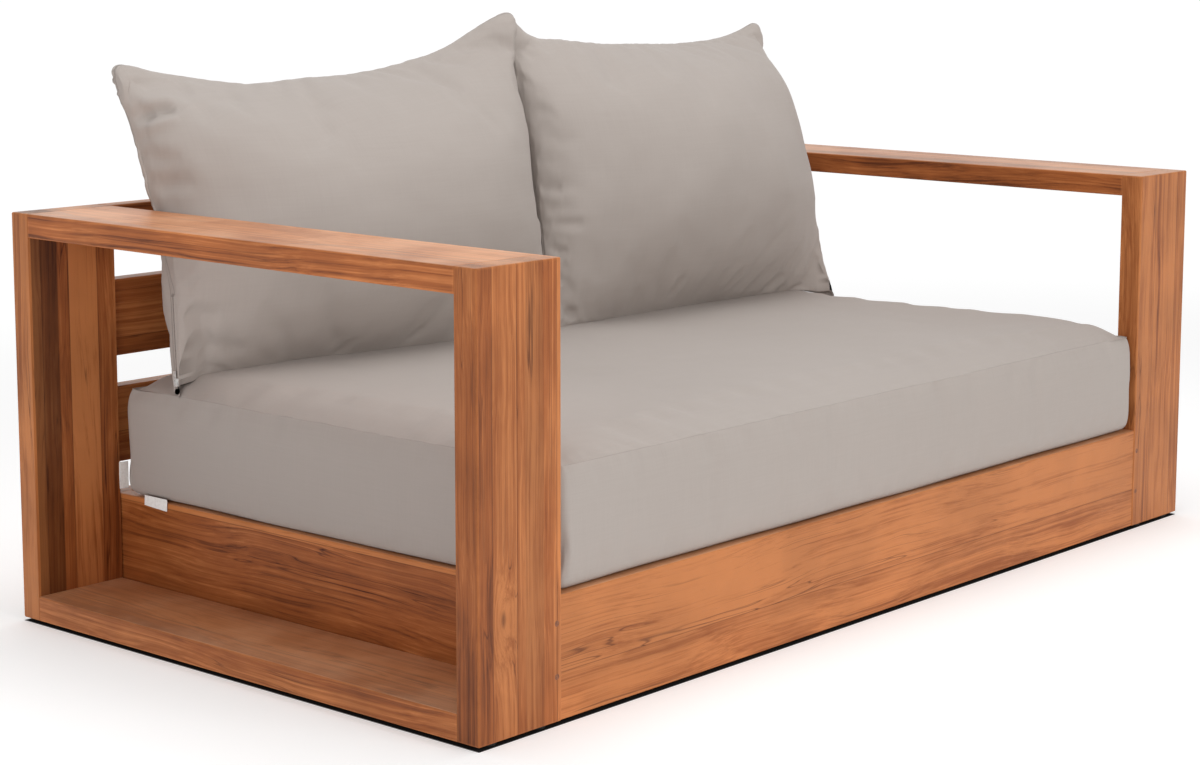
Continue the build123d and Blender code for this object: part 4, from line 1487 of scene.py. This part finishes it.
@dataclass
class BackCushion:
    """One loose, knife-edged back pillow, slumped on the seat and leaning on the back.

    Each knot is a share of the way from the pillow's left end to its right end, and a value there. Depths
    are behind the middle of the frame, and heights above the floor.
    """

    side: Side
    cloth: bpy.types.Material
    seat: SeatCushion
    foot_depth: Knots
    knee_depth: Knots
    knee_height: Knots
    tip_depth: Knots
    tip_height: Knots
    creases: tuple[Crease, ...]
    nudges: tuple[Nudge, ...]
    lobes: tuple[Nudge, ...] = ()
    drawn_in: tuple[float, float] = (-0.003, 0.01)
    top_corner: float = 0.021
    foot_corner: float = 0.009
    front_puff: float = 0.103
    front_power: float = 1.3
    rear_power: float = 0.9
    ear_overhang: float = 0.014
    ear_free_height: float = 0.615
    ear_fade: float = 0.06
    foot_overhang: float = 0.006
    foot_free_height: float = 0.352
    foot_fade: float = 0.01
    foot_seam_rise: float = 0.001
    pull_room: float = 0.0095
    pull_room_fade: float = 0.007
    foot_bow: float = 0.05
    middle_knee: float = 0.567
    foot_half: float = 0.03
    upright_share: float = 0.42
    tip_round: float = 0.012
    curve_weight: float = 0.75
    stitched_end: float = 0.06
    bumps: tuple[Ripples, ...] = (Ripples(0.0022, 0.19, 24), Ripples(0.0005, 0.06, 30))
    puckers: Ripples = Ripples(0.0008, 0.09, 12)
    ear_puff: float = 0.01
    ear_size: float = 0.045
    groove: float = 0.0008
    seat_gap: float = 0.0006
    rear_gap: float = 0.001
    across_count: int = 97
    low_count: int = 32
    high_count: int = 42
    under_count: int = 6
    item: bpy.types.Object = field(init=False)

    def sections(self) -> tuple[np.ndarray, np.ndarray]:
        """The front and rear panels, from the bottom seam up to the top seam.

        Stations lie at even angles of a half turn, and the thickness is a power of the sine of the angle.
        Across the thickness each panel is an underside, a curve up to the knee and a curve from the knee
        to the tip. Near each end the panels are drawn in, most of all in their upper half.

        Returns:
            The panels' points by station and place up the panel.
        """
        low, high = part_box(f"back_cushion_{self.side.word}")
        angle = np.linspace(0, math.pi, self.across_count)
        share = (1 - np.cos(angle)) / 2
        full = np.sin(angle)
        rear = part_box("top_back_rail")[0].y - self.rear_gap
        foot_y = through(self.foot_depth, share) + self.foot_bow * full
        knee_y = through(self.knee_depth, share)
        knee_z = through(self.knee_height, share)
        knee_z = knee_z + (self.middle_knee - knee_z) * full
        tip = np.stack([through(self.tip_depth, share), through(self.tip_height, share)], axis=1)
        x = low.x + (high.x - low.x) * share
        seam_z = self.seat.top_at(x, foot_y) + self.seat_gap
        seam = np.stack([foot_y, seam_z + self.foot_seam_rise * (1 - full)], axis=1)
        panels = []
        for way in (-1, 1):
            if way < 0:
                reach = self.front_puff * full**self.front_power
            else:
                reach = (rear - knee_y) * full**self.rear_power
            knee = np.stack([knee_y + way * reach, knee_z], axis=1)
            toe_y = foot_y + way * self.foot_half * full
            toe = np.stack([toe_y, self.seat.top_at(x, toe_y) + self.seat_gap], axis=1)
            upright_z = toe[:, 1] + self.upright_share * (knee[:, 1] - toe[:, 1])
            upright = np.stack([knee[:, 0], upright_z], axis=1)
            low_corner = upright + (toe - upright) * (1 - full)[:, None] * 0.5
            over = np.stack([knee[:, 0], tip[:, 1] - self.tip_round * full], axis=1)
            middle = (knee + tip) / 2
            high_corner = middle + (over - middle) * full[:, None] ** 0.5
            way_out = np.linspace(0, 1, self.under_count)[None, :, None]
            under = seam[:, None] + (toe - seam)[:, None] * way_out
            lower = arc(toe, low_corner, knee, self.curve_weight, self.low_count)
            upper = arc(knee, high_corner, tip, self.curve_weight, self.high_count)
            outline = np.concatenate([under, lower[:, 1:], upper[:, 1:]], axis=1)
            up = np.linspace(0, 1, outline.shape[1])[None, :]
            drawn = np.where(share < 0.5, *self.drawn_in)[:, None]
            inward = drawn * np.sin(math.pi * up**2) ** 0.8 * np.abs(np.cos(angle))[:, None] ** 3
            place_x = x[:, None] - np.sign(x - (low.x + high.x) / 2)[:, None] * inward
            panels.append(self.round_corners(np.concatenate([place_x[..., None], outline], axis=2)))
        return panels[0], panels[1]

    def round_corners(self, panel: np.ndarray) -> np.ndarray:
        """Round a panel's four corners in its own surface.

        Near a corner, u and v are one less the gaps to the end and to the seam, as shares of the radius.
        The corner square becomes a quarter of a disc: u times the root of one less half of v squared, and
        the same with u and v changed round. Each point slides that much inward along its two grid lines.

        Args:
            panel: The panel's points.

        Returns:
            The panel with round corners.
        """
        step = np.linalg.norm(np.diff(panel, axis=1), axis=2)
        from_low = np.concatenate([np.zeros((len(panel), 1)), np.cumsum(step, axis=1)], axis=1)
        from_high = from_low[:, -1:] - from_low
        radius = np.where(from_low < from_high, self.foot_corner, self.top_corner)
        from_end = np.abs(panel[..., 0] - panel[0, :, 0]), np.abs(panel[-1, :, 0] - panel[..., 0])
        u = np.clip(1 - np.minimum(*from_end) / radius, 0, 1)
        v = np.clip(1 - np.minimum(from_low, from_high) / radius, 0, 1)
        slide_x = radius * u * (1 - np.sqrt(1 - v**2 / 2))
        slide_up = radius * v * (1 - np.sqrt(1 - u**2 / 2))
        along = np.gradient(panel, axis=1)
        along[..., 0] = 0
        along /= np.linalg.norm(along, axis=2, keepdims=True) + 1e-9
        toward = np.where(from_end[0] < from_end[1], 1.0, -1.0)
        upward = np.where(from_low < from_high, 1.0, -1.0)
        rounded = panel + along * (slide_up * upward)[..., None]
        rounded[..., 0] += slide_x * toward
        return rounded

    def sew(self) -> None:
        """Make and fill the cover: two panels that share their seam."""
        front, rear = self.sections()
        rear[0], rear[-1], rear[:, 0], rear[:, -1] = front[0], front[-1], front[:, 0], front[:, -1]
        grid = np.arange(front[..., 0].size).reshape(front.shape[:2])
        rear_grid = grid.copy()
        inner = rear_grid[1:-1, 1:-1]
        rear_grid[1:-1, 1:-1] = grid.size + np.arange(inner.size).reshape(inner.shape)
        points = np.concatenate([front.reshape(-1, 3), rear[1:-1, 1:-1].reshape(-1, 3)])
        faces = np.concatenate([grid_faces(grid), grid_faces(rear_grid, True)])
        self.item = new_mesh_object(f"back_cushion_{self.side.word}_cover", points, faces)
        seam = np.zeros((len(points), 3))
        for panel, index in ((front, grid), (rear, rear_grid)):
            run, gap = panel_gaps(panel)
            seam[index.ravel(), 0] = run.ravel()
            seam[index.ravel(), 1] = gap.ravel()
        end = np.minimum(points[:, 0] - points[:, 0].min(), points[:, 0].max() - points[:, 0])
        seam[:, 2] = np.clip(1 - end / self.stitched_end, 0, 1)
        set_vectors(self.item, "seam", seam)
        held = np.exp(-seam[:, 1] / 0.014)
        freedom = np.clip(0.12 + end / 0.11, 0, 1)
        held[points[:, 2] < self.seat.top_at(points[:, 0], points[:, 1]) + 0.004] = 1.0
        Stuffing(pressure=2.0, cap=0.022).fill(self.item, held, freedom)

    def build(self) -> None:
        """Make the pillow: sewn and filled, softened, folded, fitted to its zip and dressed."""
        self.sew()
        self.settle()
        subdivide(self.item)
        self.soften()
        for change in (*self.nudges, *self.creases):
            change.press(self.item)
        self.settle()
        line = ZipLine.of(self.side.word)
        line.bed(self.item)
        for lobe in self.lobes:
            lobe.press(self.item)
        line.clear(self.item, self.pull_room, self.pull_room_fade)
        self.settle()
        add_cloth_map(self.item)
        self.item.data.materials.append(self.cloth)
        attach(self.item, f"back_cushion_{self.side.word}")
        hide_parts(f"back_cushion_{self.side.word}")
        LOG.info("built %s", self.item.name)

    def soften(self) -> None:
        """Break up the cover with broad soft bumps, short puckers beside its seams, and the seams' groove."""
        places = vertex_array(self.item)
        normals = vertex_array(self.item, "normal")
        seam = np.zeros(len(places) * 3, np.float32)
        self.item.data.attributes["seam"].data.foreach_get("vector", seam)
        run, gap, _ = seam.reshape(-1, 3).T
        seed = PILLOW_SEEDS[self.side]
        bumps = sum(ripples.at(places, seed + number) for number, ripples in enumerate(self.bumps))
        near = np.exp(-(((gap - 0.018) / 0.016) ** 2))
        beside_seam = np.stack([run * 3.2, gap, 0 * gap], axis=1)
        puckers = near * self.puckers.at(beside_seam, seed + len(self.bumps))
        low, high = places.min(axis=0), places.max(axis=0)
        ears = np.zeros(len(places))
        for end in (low[0], high[0]):
            tip = places[np.argmax(places[:, 2] - 3 * np.abs(places[:, 0] - end))]
            ears += np.exp(-((np.linalg.norm(places - tip, axis=1) / self.ear_size) ** 2))
        plump = self.ear_puff * ears * np.clip(gap / 0.012, 0, 1) ** 0.5
        keep = np.clip(gap / 0.02, 0, 1)
        groove = -self.groove * np.exp(-((gap / 0.0024) ** 2))
        set_places(self.item, places + normals * (bumps * keep + puckers + plump + groove)[:, None])

    def settle(self) -> None:
        """Keep the cover off the seat, in front of the back's planks and on its own half.

        Above the arm, and where it hangs over the seat's edge, the outer end may stand a little past the
        pillow's solid.
        """
        places = vertex_array(self.item)
        low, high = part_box(f"back_cushion_{self.side.word}")
        height = places[:, 2]
        over = self.ear_overhang * np.clip((height - self.ear_free_height) / self.ear_fade, 0, 1)
        over += self.foot_overhang * np.clip((self.foot_free_height - height) / self.foot_fade, 0, 1)
        left, right = (over, 0.0) if self.side is Side.LEFT else (0.0, over)
        places[:, 0] = np.clip(places[:, 0], low.x - left, high.x + right)
        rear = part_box("top_back_rail")[0].y - self.rear_gap
        places[:, 1] = np.minimum(places[:, 1], rear)
        floor = self.seat.top_at(places[:, 0], places[:, 1]) + self.seat_gap
        places[:, 2] = np.maximum(places[:, 2], floor)
        set_places(self.item, places)


def left_pillow(cloth: bpy.types.Material, seat: SeatCushion) -> BackCushion:
    """The left pillow, with its far corner high and its near corner folded over the seat.

    Args:
        cloth: The cushions' cloth.
        seat: The seat cushion that it stands on.

    Returns:
        The pillow.
    """
    return BackCushion(
        side=Side.LEFT, cloth=cloth, seat=seat,
        foot_depth=((0, 0.3), (0.5, 0.254), (1, 0.208)),
        knee_depth=((0, 0.306), (0.5, 0.272), (1, 0.238)),
        knee_height=((0, 0.485), (0.5, 0.505), (1, 0.525)),
        tip_depth=((0, 0.425), (0.3, 0.399), (0.6, 0.37), (0.85, 0.345), (1, 0.33)),
        tip_height=((0, 0.812), (0.07, 0.803), (0.18, 0.79), (0.3, 0.777), (0.46, 0.782), (0.61, 0.787),
                    (0.74, 0.803), (0.84, 0.822), (0.94, 0.858), (1, 0.876)),
        nudges=(
            Nudge((-0.708, 0.425, 0.8), (-0.006, 0.002, 0.003), 0.04),
            Nudge((-0.708, 0.415, 0.775), (-0.012, -0.006, 0.0), 0.034),
            Nudge((-0.004, 0.325, 0.85), (0.003, -0.022, 0.006), 0.055),
            Nudge((-0.01, 0.25, 0.6), (-0.004, 0.01, 0.0), 0.08),
        ),
        lobes=(Nudge((-0.707, 0.275, 0.338), (-0.012, -0.018, -0.01), 0.03),),
        creases=(
            Crease((142, 117), (176, 108), 0.013, 0.009),
            Crease((150, 160), (182, 158), 0.003, 0.01),
            Crease((160, 190), (196, 182), 0.003, 0.01),
            Crease((188, 313), (222, 316), 0.004, 0.012),
            Crease((204, 342), (246, 350), 0.003, 0.012),
            Crease((336, 356), (356, 338), 0.003, 0.008),
            Crease((408, 342), (424, 326), 0.003, 0.008),
        ),
    )


def right_pillow(cloth: bpy.types.Material, seat: SeatCushion) -> BackCushion:
    """The right pillow, with both upper corners standing up and short folds beside its neighbour.

    Args:
        cloth: The cushions' cloth.
        seat: The seat cushion that it stands on.

    Returns:
        The pillow.
    """
    return BackCushion(
        side=Side.RIGHT, cloth=cloth, seat=seat,
        foot_depth=((0, 0.212), (0.5, 0.202), (1, 0.192)),
        knee_depth=((0, 0.242), (0.5, 0.23), (1, 0.216)),
        knee_height=((0, 0.525), (0.5, 0.505), (1, 0.485)),
        tip_depth=((0, 0.3), (0.3, 0.317), (0.6, 0.335), (0.85, 0.35), (1, 0.359)),
        tip_height=((0, 0.868), (0.06, 0.84), (0.17, 0.829), (0.3, 0.82), (0.5, 0.814), (0.7, 0.812),
                    (0.84, 0.818), (0.93, 0.829), (1, 0.843)),
        drawn_in=(0.0, 0.016),
        nudges=(
            Nudge((0.004, 0.3, 0.862), (0.0, 0.02, 0.007), 0.05),
            Nudge((0.004, 0.285, 0.79), (-0.002, 0.014, 0.0), 0.07),
            Nudge((0.71, 0.348, 0.81), (0.005, -0.002, 0.0), 0.04),
            Nudge((0.7, 0.3, 0.72), (-0.011, 0.012, 0.0), 0.07),
            Nudge((0.7, 0.27, 0.63), (-0.013, 0.014, 0.0), 0.07),
            Nudge((0.706, 0.19, 0.41), (0.003, -0.016, 0.0), 0.07),
        ),
        lobes=(Nudge((0.706, 0.184, 0.342), (0.004, -0.024, 0.0), 0.04),),
        creases=(
            Crease((540, 190), (562, 188), 0.005, 0.009),
            Crease((552, 224), (584, 223), 0.004, 0.009),
            Crease((556, 252), (568, 250), 0.004, 0.008),
            Crease((564, 312), (576, 314), 0.004, 0.008),
            Crease((668, 298), (684, 276), 0.004, 0.008),
            Crease((724, 291), (742, 270), 0.004, 0.008),
            Crease((764, 291), (784, 274), 0.004, 0.008),
        ),
    )


@dataclass
class Zip:
    """One zip: a sewn tape whose two lips hide two rows of teeth, with a stop at each end.

    The points of the lips' profile are in millimetres, across the zip and out of the cushion.
    """

    name: str
    body: str
    cloth: bpy.types.Material
    teeth: bpy.types.Material
    pitch: float = 0.0017
    tooth_size: tuple[float, float, float] = (0.0011, 0.0009, 0.0006)
    row_offset: float = 0.0004
    tooth_rise: float = 0.00052
    stop_size: tuple[float, float, float] = (0.003, 0.005, 0.0015)
    lips: tuple[tuple[float, float], ...] = (
        (-4.6, -0.4), (-4.2, 0.2), (-3.6, 0.5), (-2.8, 0.72), (-1.8, 0.8), (-1.05, 0.72), (-0.8, 0.5),
        (-0.7, 0.22), (0.7, 0.22), (0.8, 0.5), (1.05, 0.72), (1.8, 0.8), (2.8, 0.72), (3.6, 0.5), (4.2, 0.2),
        (4.6, -0.4),
    )
    lip_top: float = 0.0008
    stop_sink: float = 0.0003
    end_round: float = 0.002
    station_count: int = 72

    def tape(self, line: ZipLine) -> bpy.types.Object:
        """A strip of one profile, two lips with a slit between them, carried along the zip.

        It shrinks at its ends by the root of one less the square of the way into the end.

        Args:
            line: Where the zip lies.

        Returns:
            The tape.
        """
        wide, thick = np.array(self.lips).T / 1000
        turn = np.linspace(0, math.pi, self.station_count)
        place = line.length * (1 - np.cos(turn)) / 2
        into_end = np.clip(1 - np.minimum(place, line.length - place) / self.end_round, 0, 1)
        size = (np.sqrt(np.maximum(0, 1 - into_end**2)) + 1e-3)[:, None, None]
        profile = line.across * wide[:, None] + line.outward * thick[:, None]
        points = line.start + line.along * place[:, None, None] + size * profile[None]
        index = np.arange(points[..., 0].size).reshape(points.shape[:2])
        index = np.concatenate([index, index[:, :1]], axis=1)
        made = new_mesh_object(f"{self.name}_zip_cloth", points.reshape(-1, 3), grid_faces(index))
        turn_outward(made, close=True)
        set_vectors(made, "seam", np.full((len(made.data.vertices), 3), FAR_FROM_SEAM) * [1, 1, 0])
        add_cloth_map(made)
        made.data.materials.append(self.cloth)
        return made

    def chain(self, line: ZipLine) -> bpy.types.Object:
        """Two rows of small blocks, half a pitch apart, and a stop at each end.

        Args:
            line: Where the zip lies.

        Returns:
            The teeth and stops.
        """
        first = self.stop_size[0] + self.pitch / 2
        run = np.arange(first, line.length - first - self.pitch / 2, self.pitch)
        stop_rise = self.lip_top + self.stop_size[2] / 2 - self.stop_sink
        ends = np.array([self.stop_size[0] / 2, line.length - self.stop_size[0] / 2])
        rows = [
            (run, -self.row_offset, self.tooth_rise, self.tooth_size),
            (run + self.pitch / 2, self.row_offset, self.tooth_rise, self.tooth_size),
            (ends, 0.0, stop_rise, self.stop_size),
        ]
        centre = np.concatenate([
            np.stack([at, np.full_like(at, off), np.full_like(at, rise)], axis=1) for at, off, rise, _ in rows
        ])
        size = np.concatenate([np.tile(block, (len(at), 1)) for at, _, _, block in rows])
        corner = np.array([[x, y, z] for x in (-0.5, 0.5) for y in (-0.5, 0.5) for z in (-0.5, 0.5)])
        local = (centre[:, None] + size[:, None] * corner[None]).reshape(-1, 3)
        points = line.start + local @ np.stack([line.along, line.across, line.outward])
        cube = np.array([[0, 1, 3, 2], [4, 6, 7, 5], [0, 4, 5, 1], [2, 3, 7, 6], [0, 2, 6, 4], [1, 5, 7, 3]])
        faces = (np.arange(len(centre))[:, None, None] * 8 + cube[None]).reshape(-1, 4)
        made = new_mesh_object(f"{self.name}_zip_chain", points, faces)
        made.data.shade_flat()
        turn_outward(made)
        made.data.materials.append(self.teeth)
        return made

    def build(self) -> None:
        """Make tape and chain in place of the plain tape."""
        line = ZipLine.of(self.name)
        for item in (self.tape(line), self.chain(line)):
            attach(item, self.body)
            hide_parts(f"{self.name}_zip_tape")
            LOG.info("built %s", item.name)


@dataclass
class SewnTag:
    """A small bare cloth loop sewn into the seat cushion's seam."""

    name: str
    material: bpy.types.Material
    corners: tuple[Place, Place, Place, Place]
    curl: float
    replaced: str | None = None
    half_thickness: float = 0.0004
    count: int = 16

    def build(self) -> None:
        """Make the loop: a sheet between four corners, curled along its reach, with a front and a back.

        The corners go round the sheet from the start of its seam. A point is the mean of the four by its
        two shares, moved along the sheet's normal by a sine of the way from the seam.
        """
        u, v = np.meshgrid(np.linspace(0, 1, self.count), np.linspace(0, 1, self.count), indexing="ij")
        u, v = u[..., None], v[..., None]
        first, second, third, fourth = np.array(self.corners)
        sheet = (1 - v) * ((1 - u) * first + u * second) + v * ((1 - u) * fourth + u * third)
        normal = np.cross(second - first, fourth - first)
        normal /= np.linalg.norm(normal)
        sheet = sheet + self.curl * np.sin(2.2 * v) * (0.7 + 0.3 * np.cos(5 * u)) * normal
        thick = self.half_thickness * (1 - 0.5 * (2 * u - 1) ** 8)
        points = np.concatenate([(sheet + way * thick * normal).reshape(-1, 3) for way in (-1, 1)])
        index = np.arange(self.count**2).reshape(self.count, self.count)
        rows = np.stack([border(index), border(index + index.size)])
        rows = np.concatenate([rows, rows[:, :1]], axis=1)
        sheets = [grid_faces(index), grid_faces(index + index.size, True)]
        faces = np.concatenate([*sheets, grid_faces(rows)])
        made = new_mesh_object(self.name, points, faces)
        made.data.shade_flat()
        turn_outward(made)
        made.data.materials.append(self.material)
        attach(made, "seat_cushion")
        if self.replaced:
            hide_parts(self.replaced)
        LOG.info("built %s", made.name)


@dataclass
class Trim:
    """Zips, pulls and the bare sewn tags."""

    cloth: bpy.types.Material
    metal: HardFinish = HardFinish(srgb(236, 236, 234), srgb(206, 207, 208), 0.34, 0.5, 300.0)
    teeth: HardFinish = HardFinish(srgb(150, 142, 136), srgb(124, 117, 111), 0.5, 0.0, 500.0)
    tag: HardFinish = HardFinish(srgb(252, 252, 250), srgb(241, 240, 237), 0.8, 0.0, 240.0, 0.00006)
    seam_tag: tuple[Place, Place, Place, Place] = (
        (-0.7198, 0.373, 0.177), (-0.7198, 0.321, 0.177),
        (-0.7214, 0.3203, 0.1595), (-0.7214, 0.3725, 0.1622),
    )
    rear_tag: tuple[Place, Place, Place, Place] = (
        (-0.718, 0.413, 0.2225), (-0.718, 0.413, 0.1822),
        (-0.7345, 0.413, 0.1832), (-0.7352, 0.413, 0.2238),
    )

    def build(self) -> None:
        """Make the zips and both tags, the first in place of the packed seat tag, and dress sliders and
        pulls.
        """
        metal = self.metal.material("zip_metal")
        teeth = self.teeth.material("zip_teeth")
        tag = self.tag.material("bare_tag")
        bodies = {"left": "back_cushion_left", "right": "back_cushion_right", "seat": "seat_cushion"}
        for name, body in bodies.items():
            Zip(name, body, self.cloth, teeth).build()
            for part in ("slider", "pull"):
                dress_node(f"{name}_zip_{part}", metal)
        SewnTag("edge_tag", tag, self.seam_tag, 0.0005, "seat_tag").build()
        SewnTag("care_tag", tag, self.rear_tag, -0.001).build()


def write_sizes() -> None:
    """Bring the view layer up to date.
    """
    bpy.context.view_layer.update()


def main() -> None:
    """Build the shared effects, the frame's finishes, the cushions, the trim and the studio."""
    logging.basicConfig(level=logging.INFO, format="%(name)s: %(message)s")
    GROUPS.update({
        "wood_grain": wood_group(), "edge_wear": edge_wear_group(),
        "plain_weave": weave_group(), "handling": soil_group(),
    })
    Studio().build()
    WoodFrame().dress()
    cloth = ClothFinish().material("cushion_cloth")
    seat = SeatCushion(cloth)
    seat.build()
    left_pillow(cloth, seat).build()
    right_pillow(cloth, seat).build()
    Trim(cloth).build()
    write_sizes()


if __name__ == "__main__":
    main()
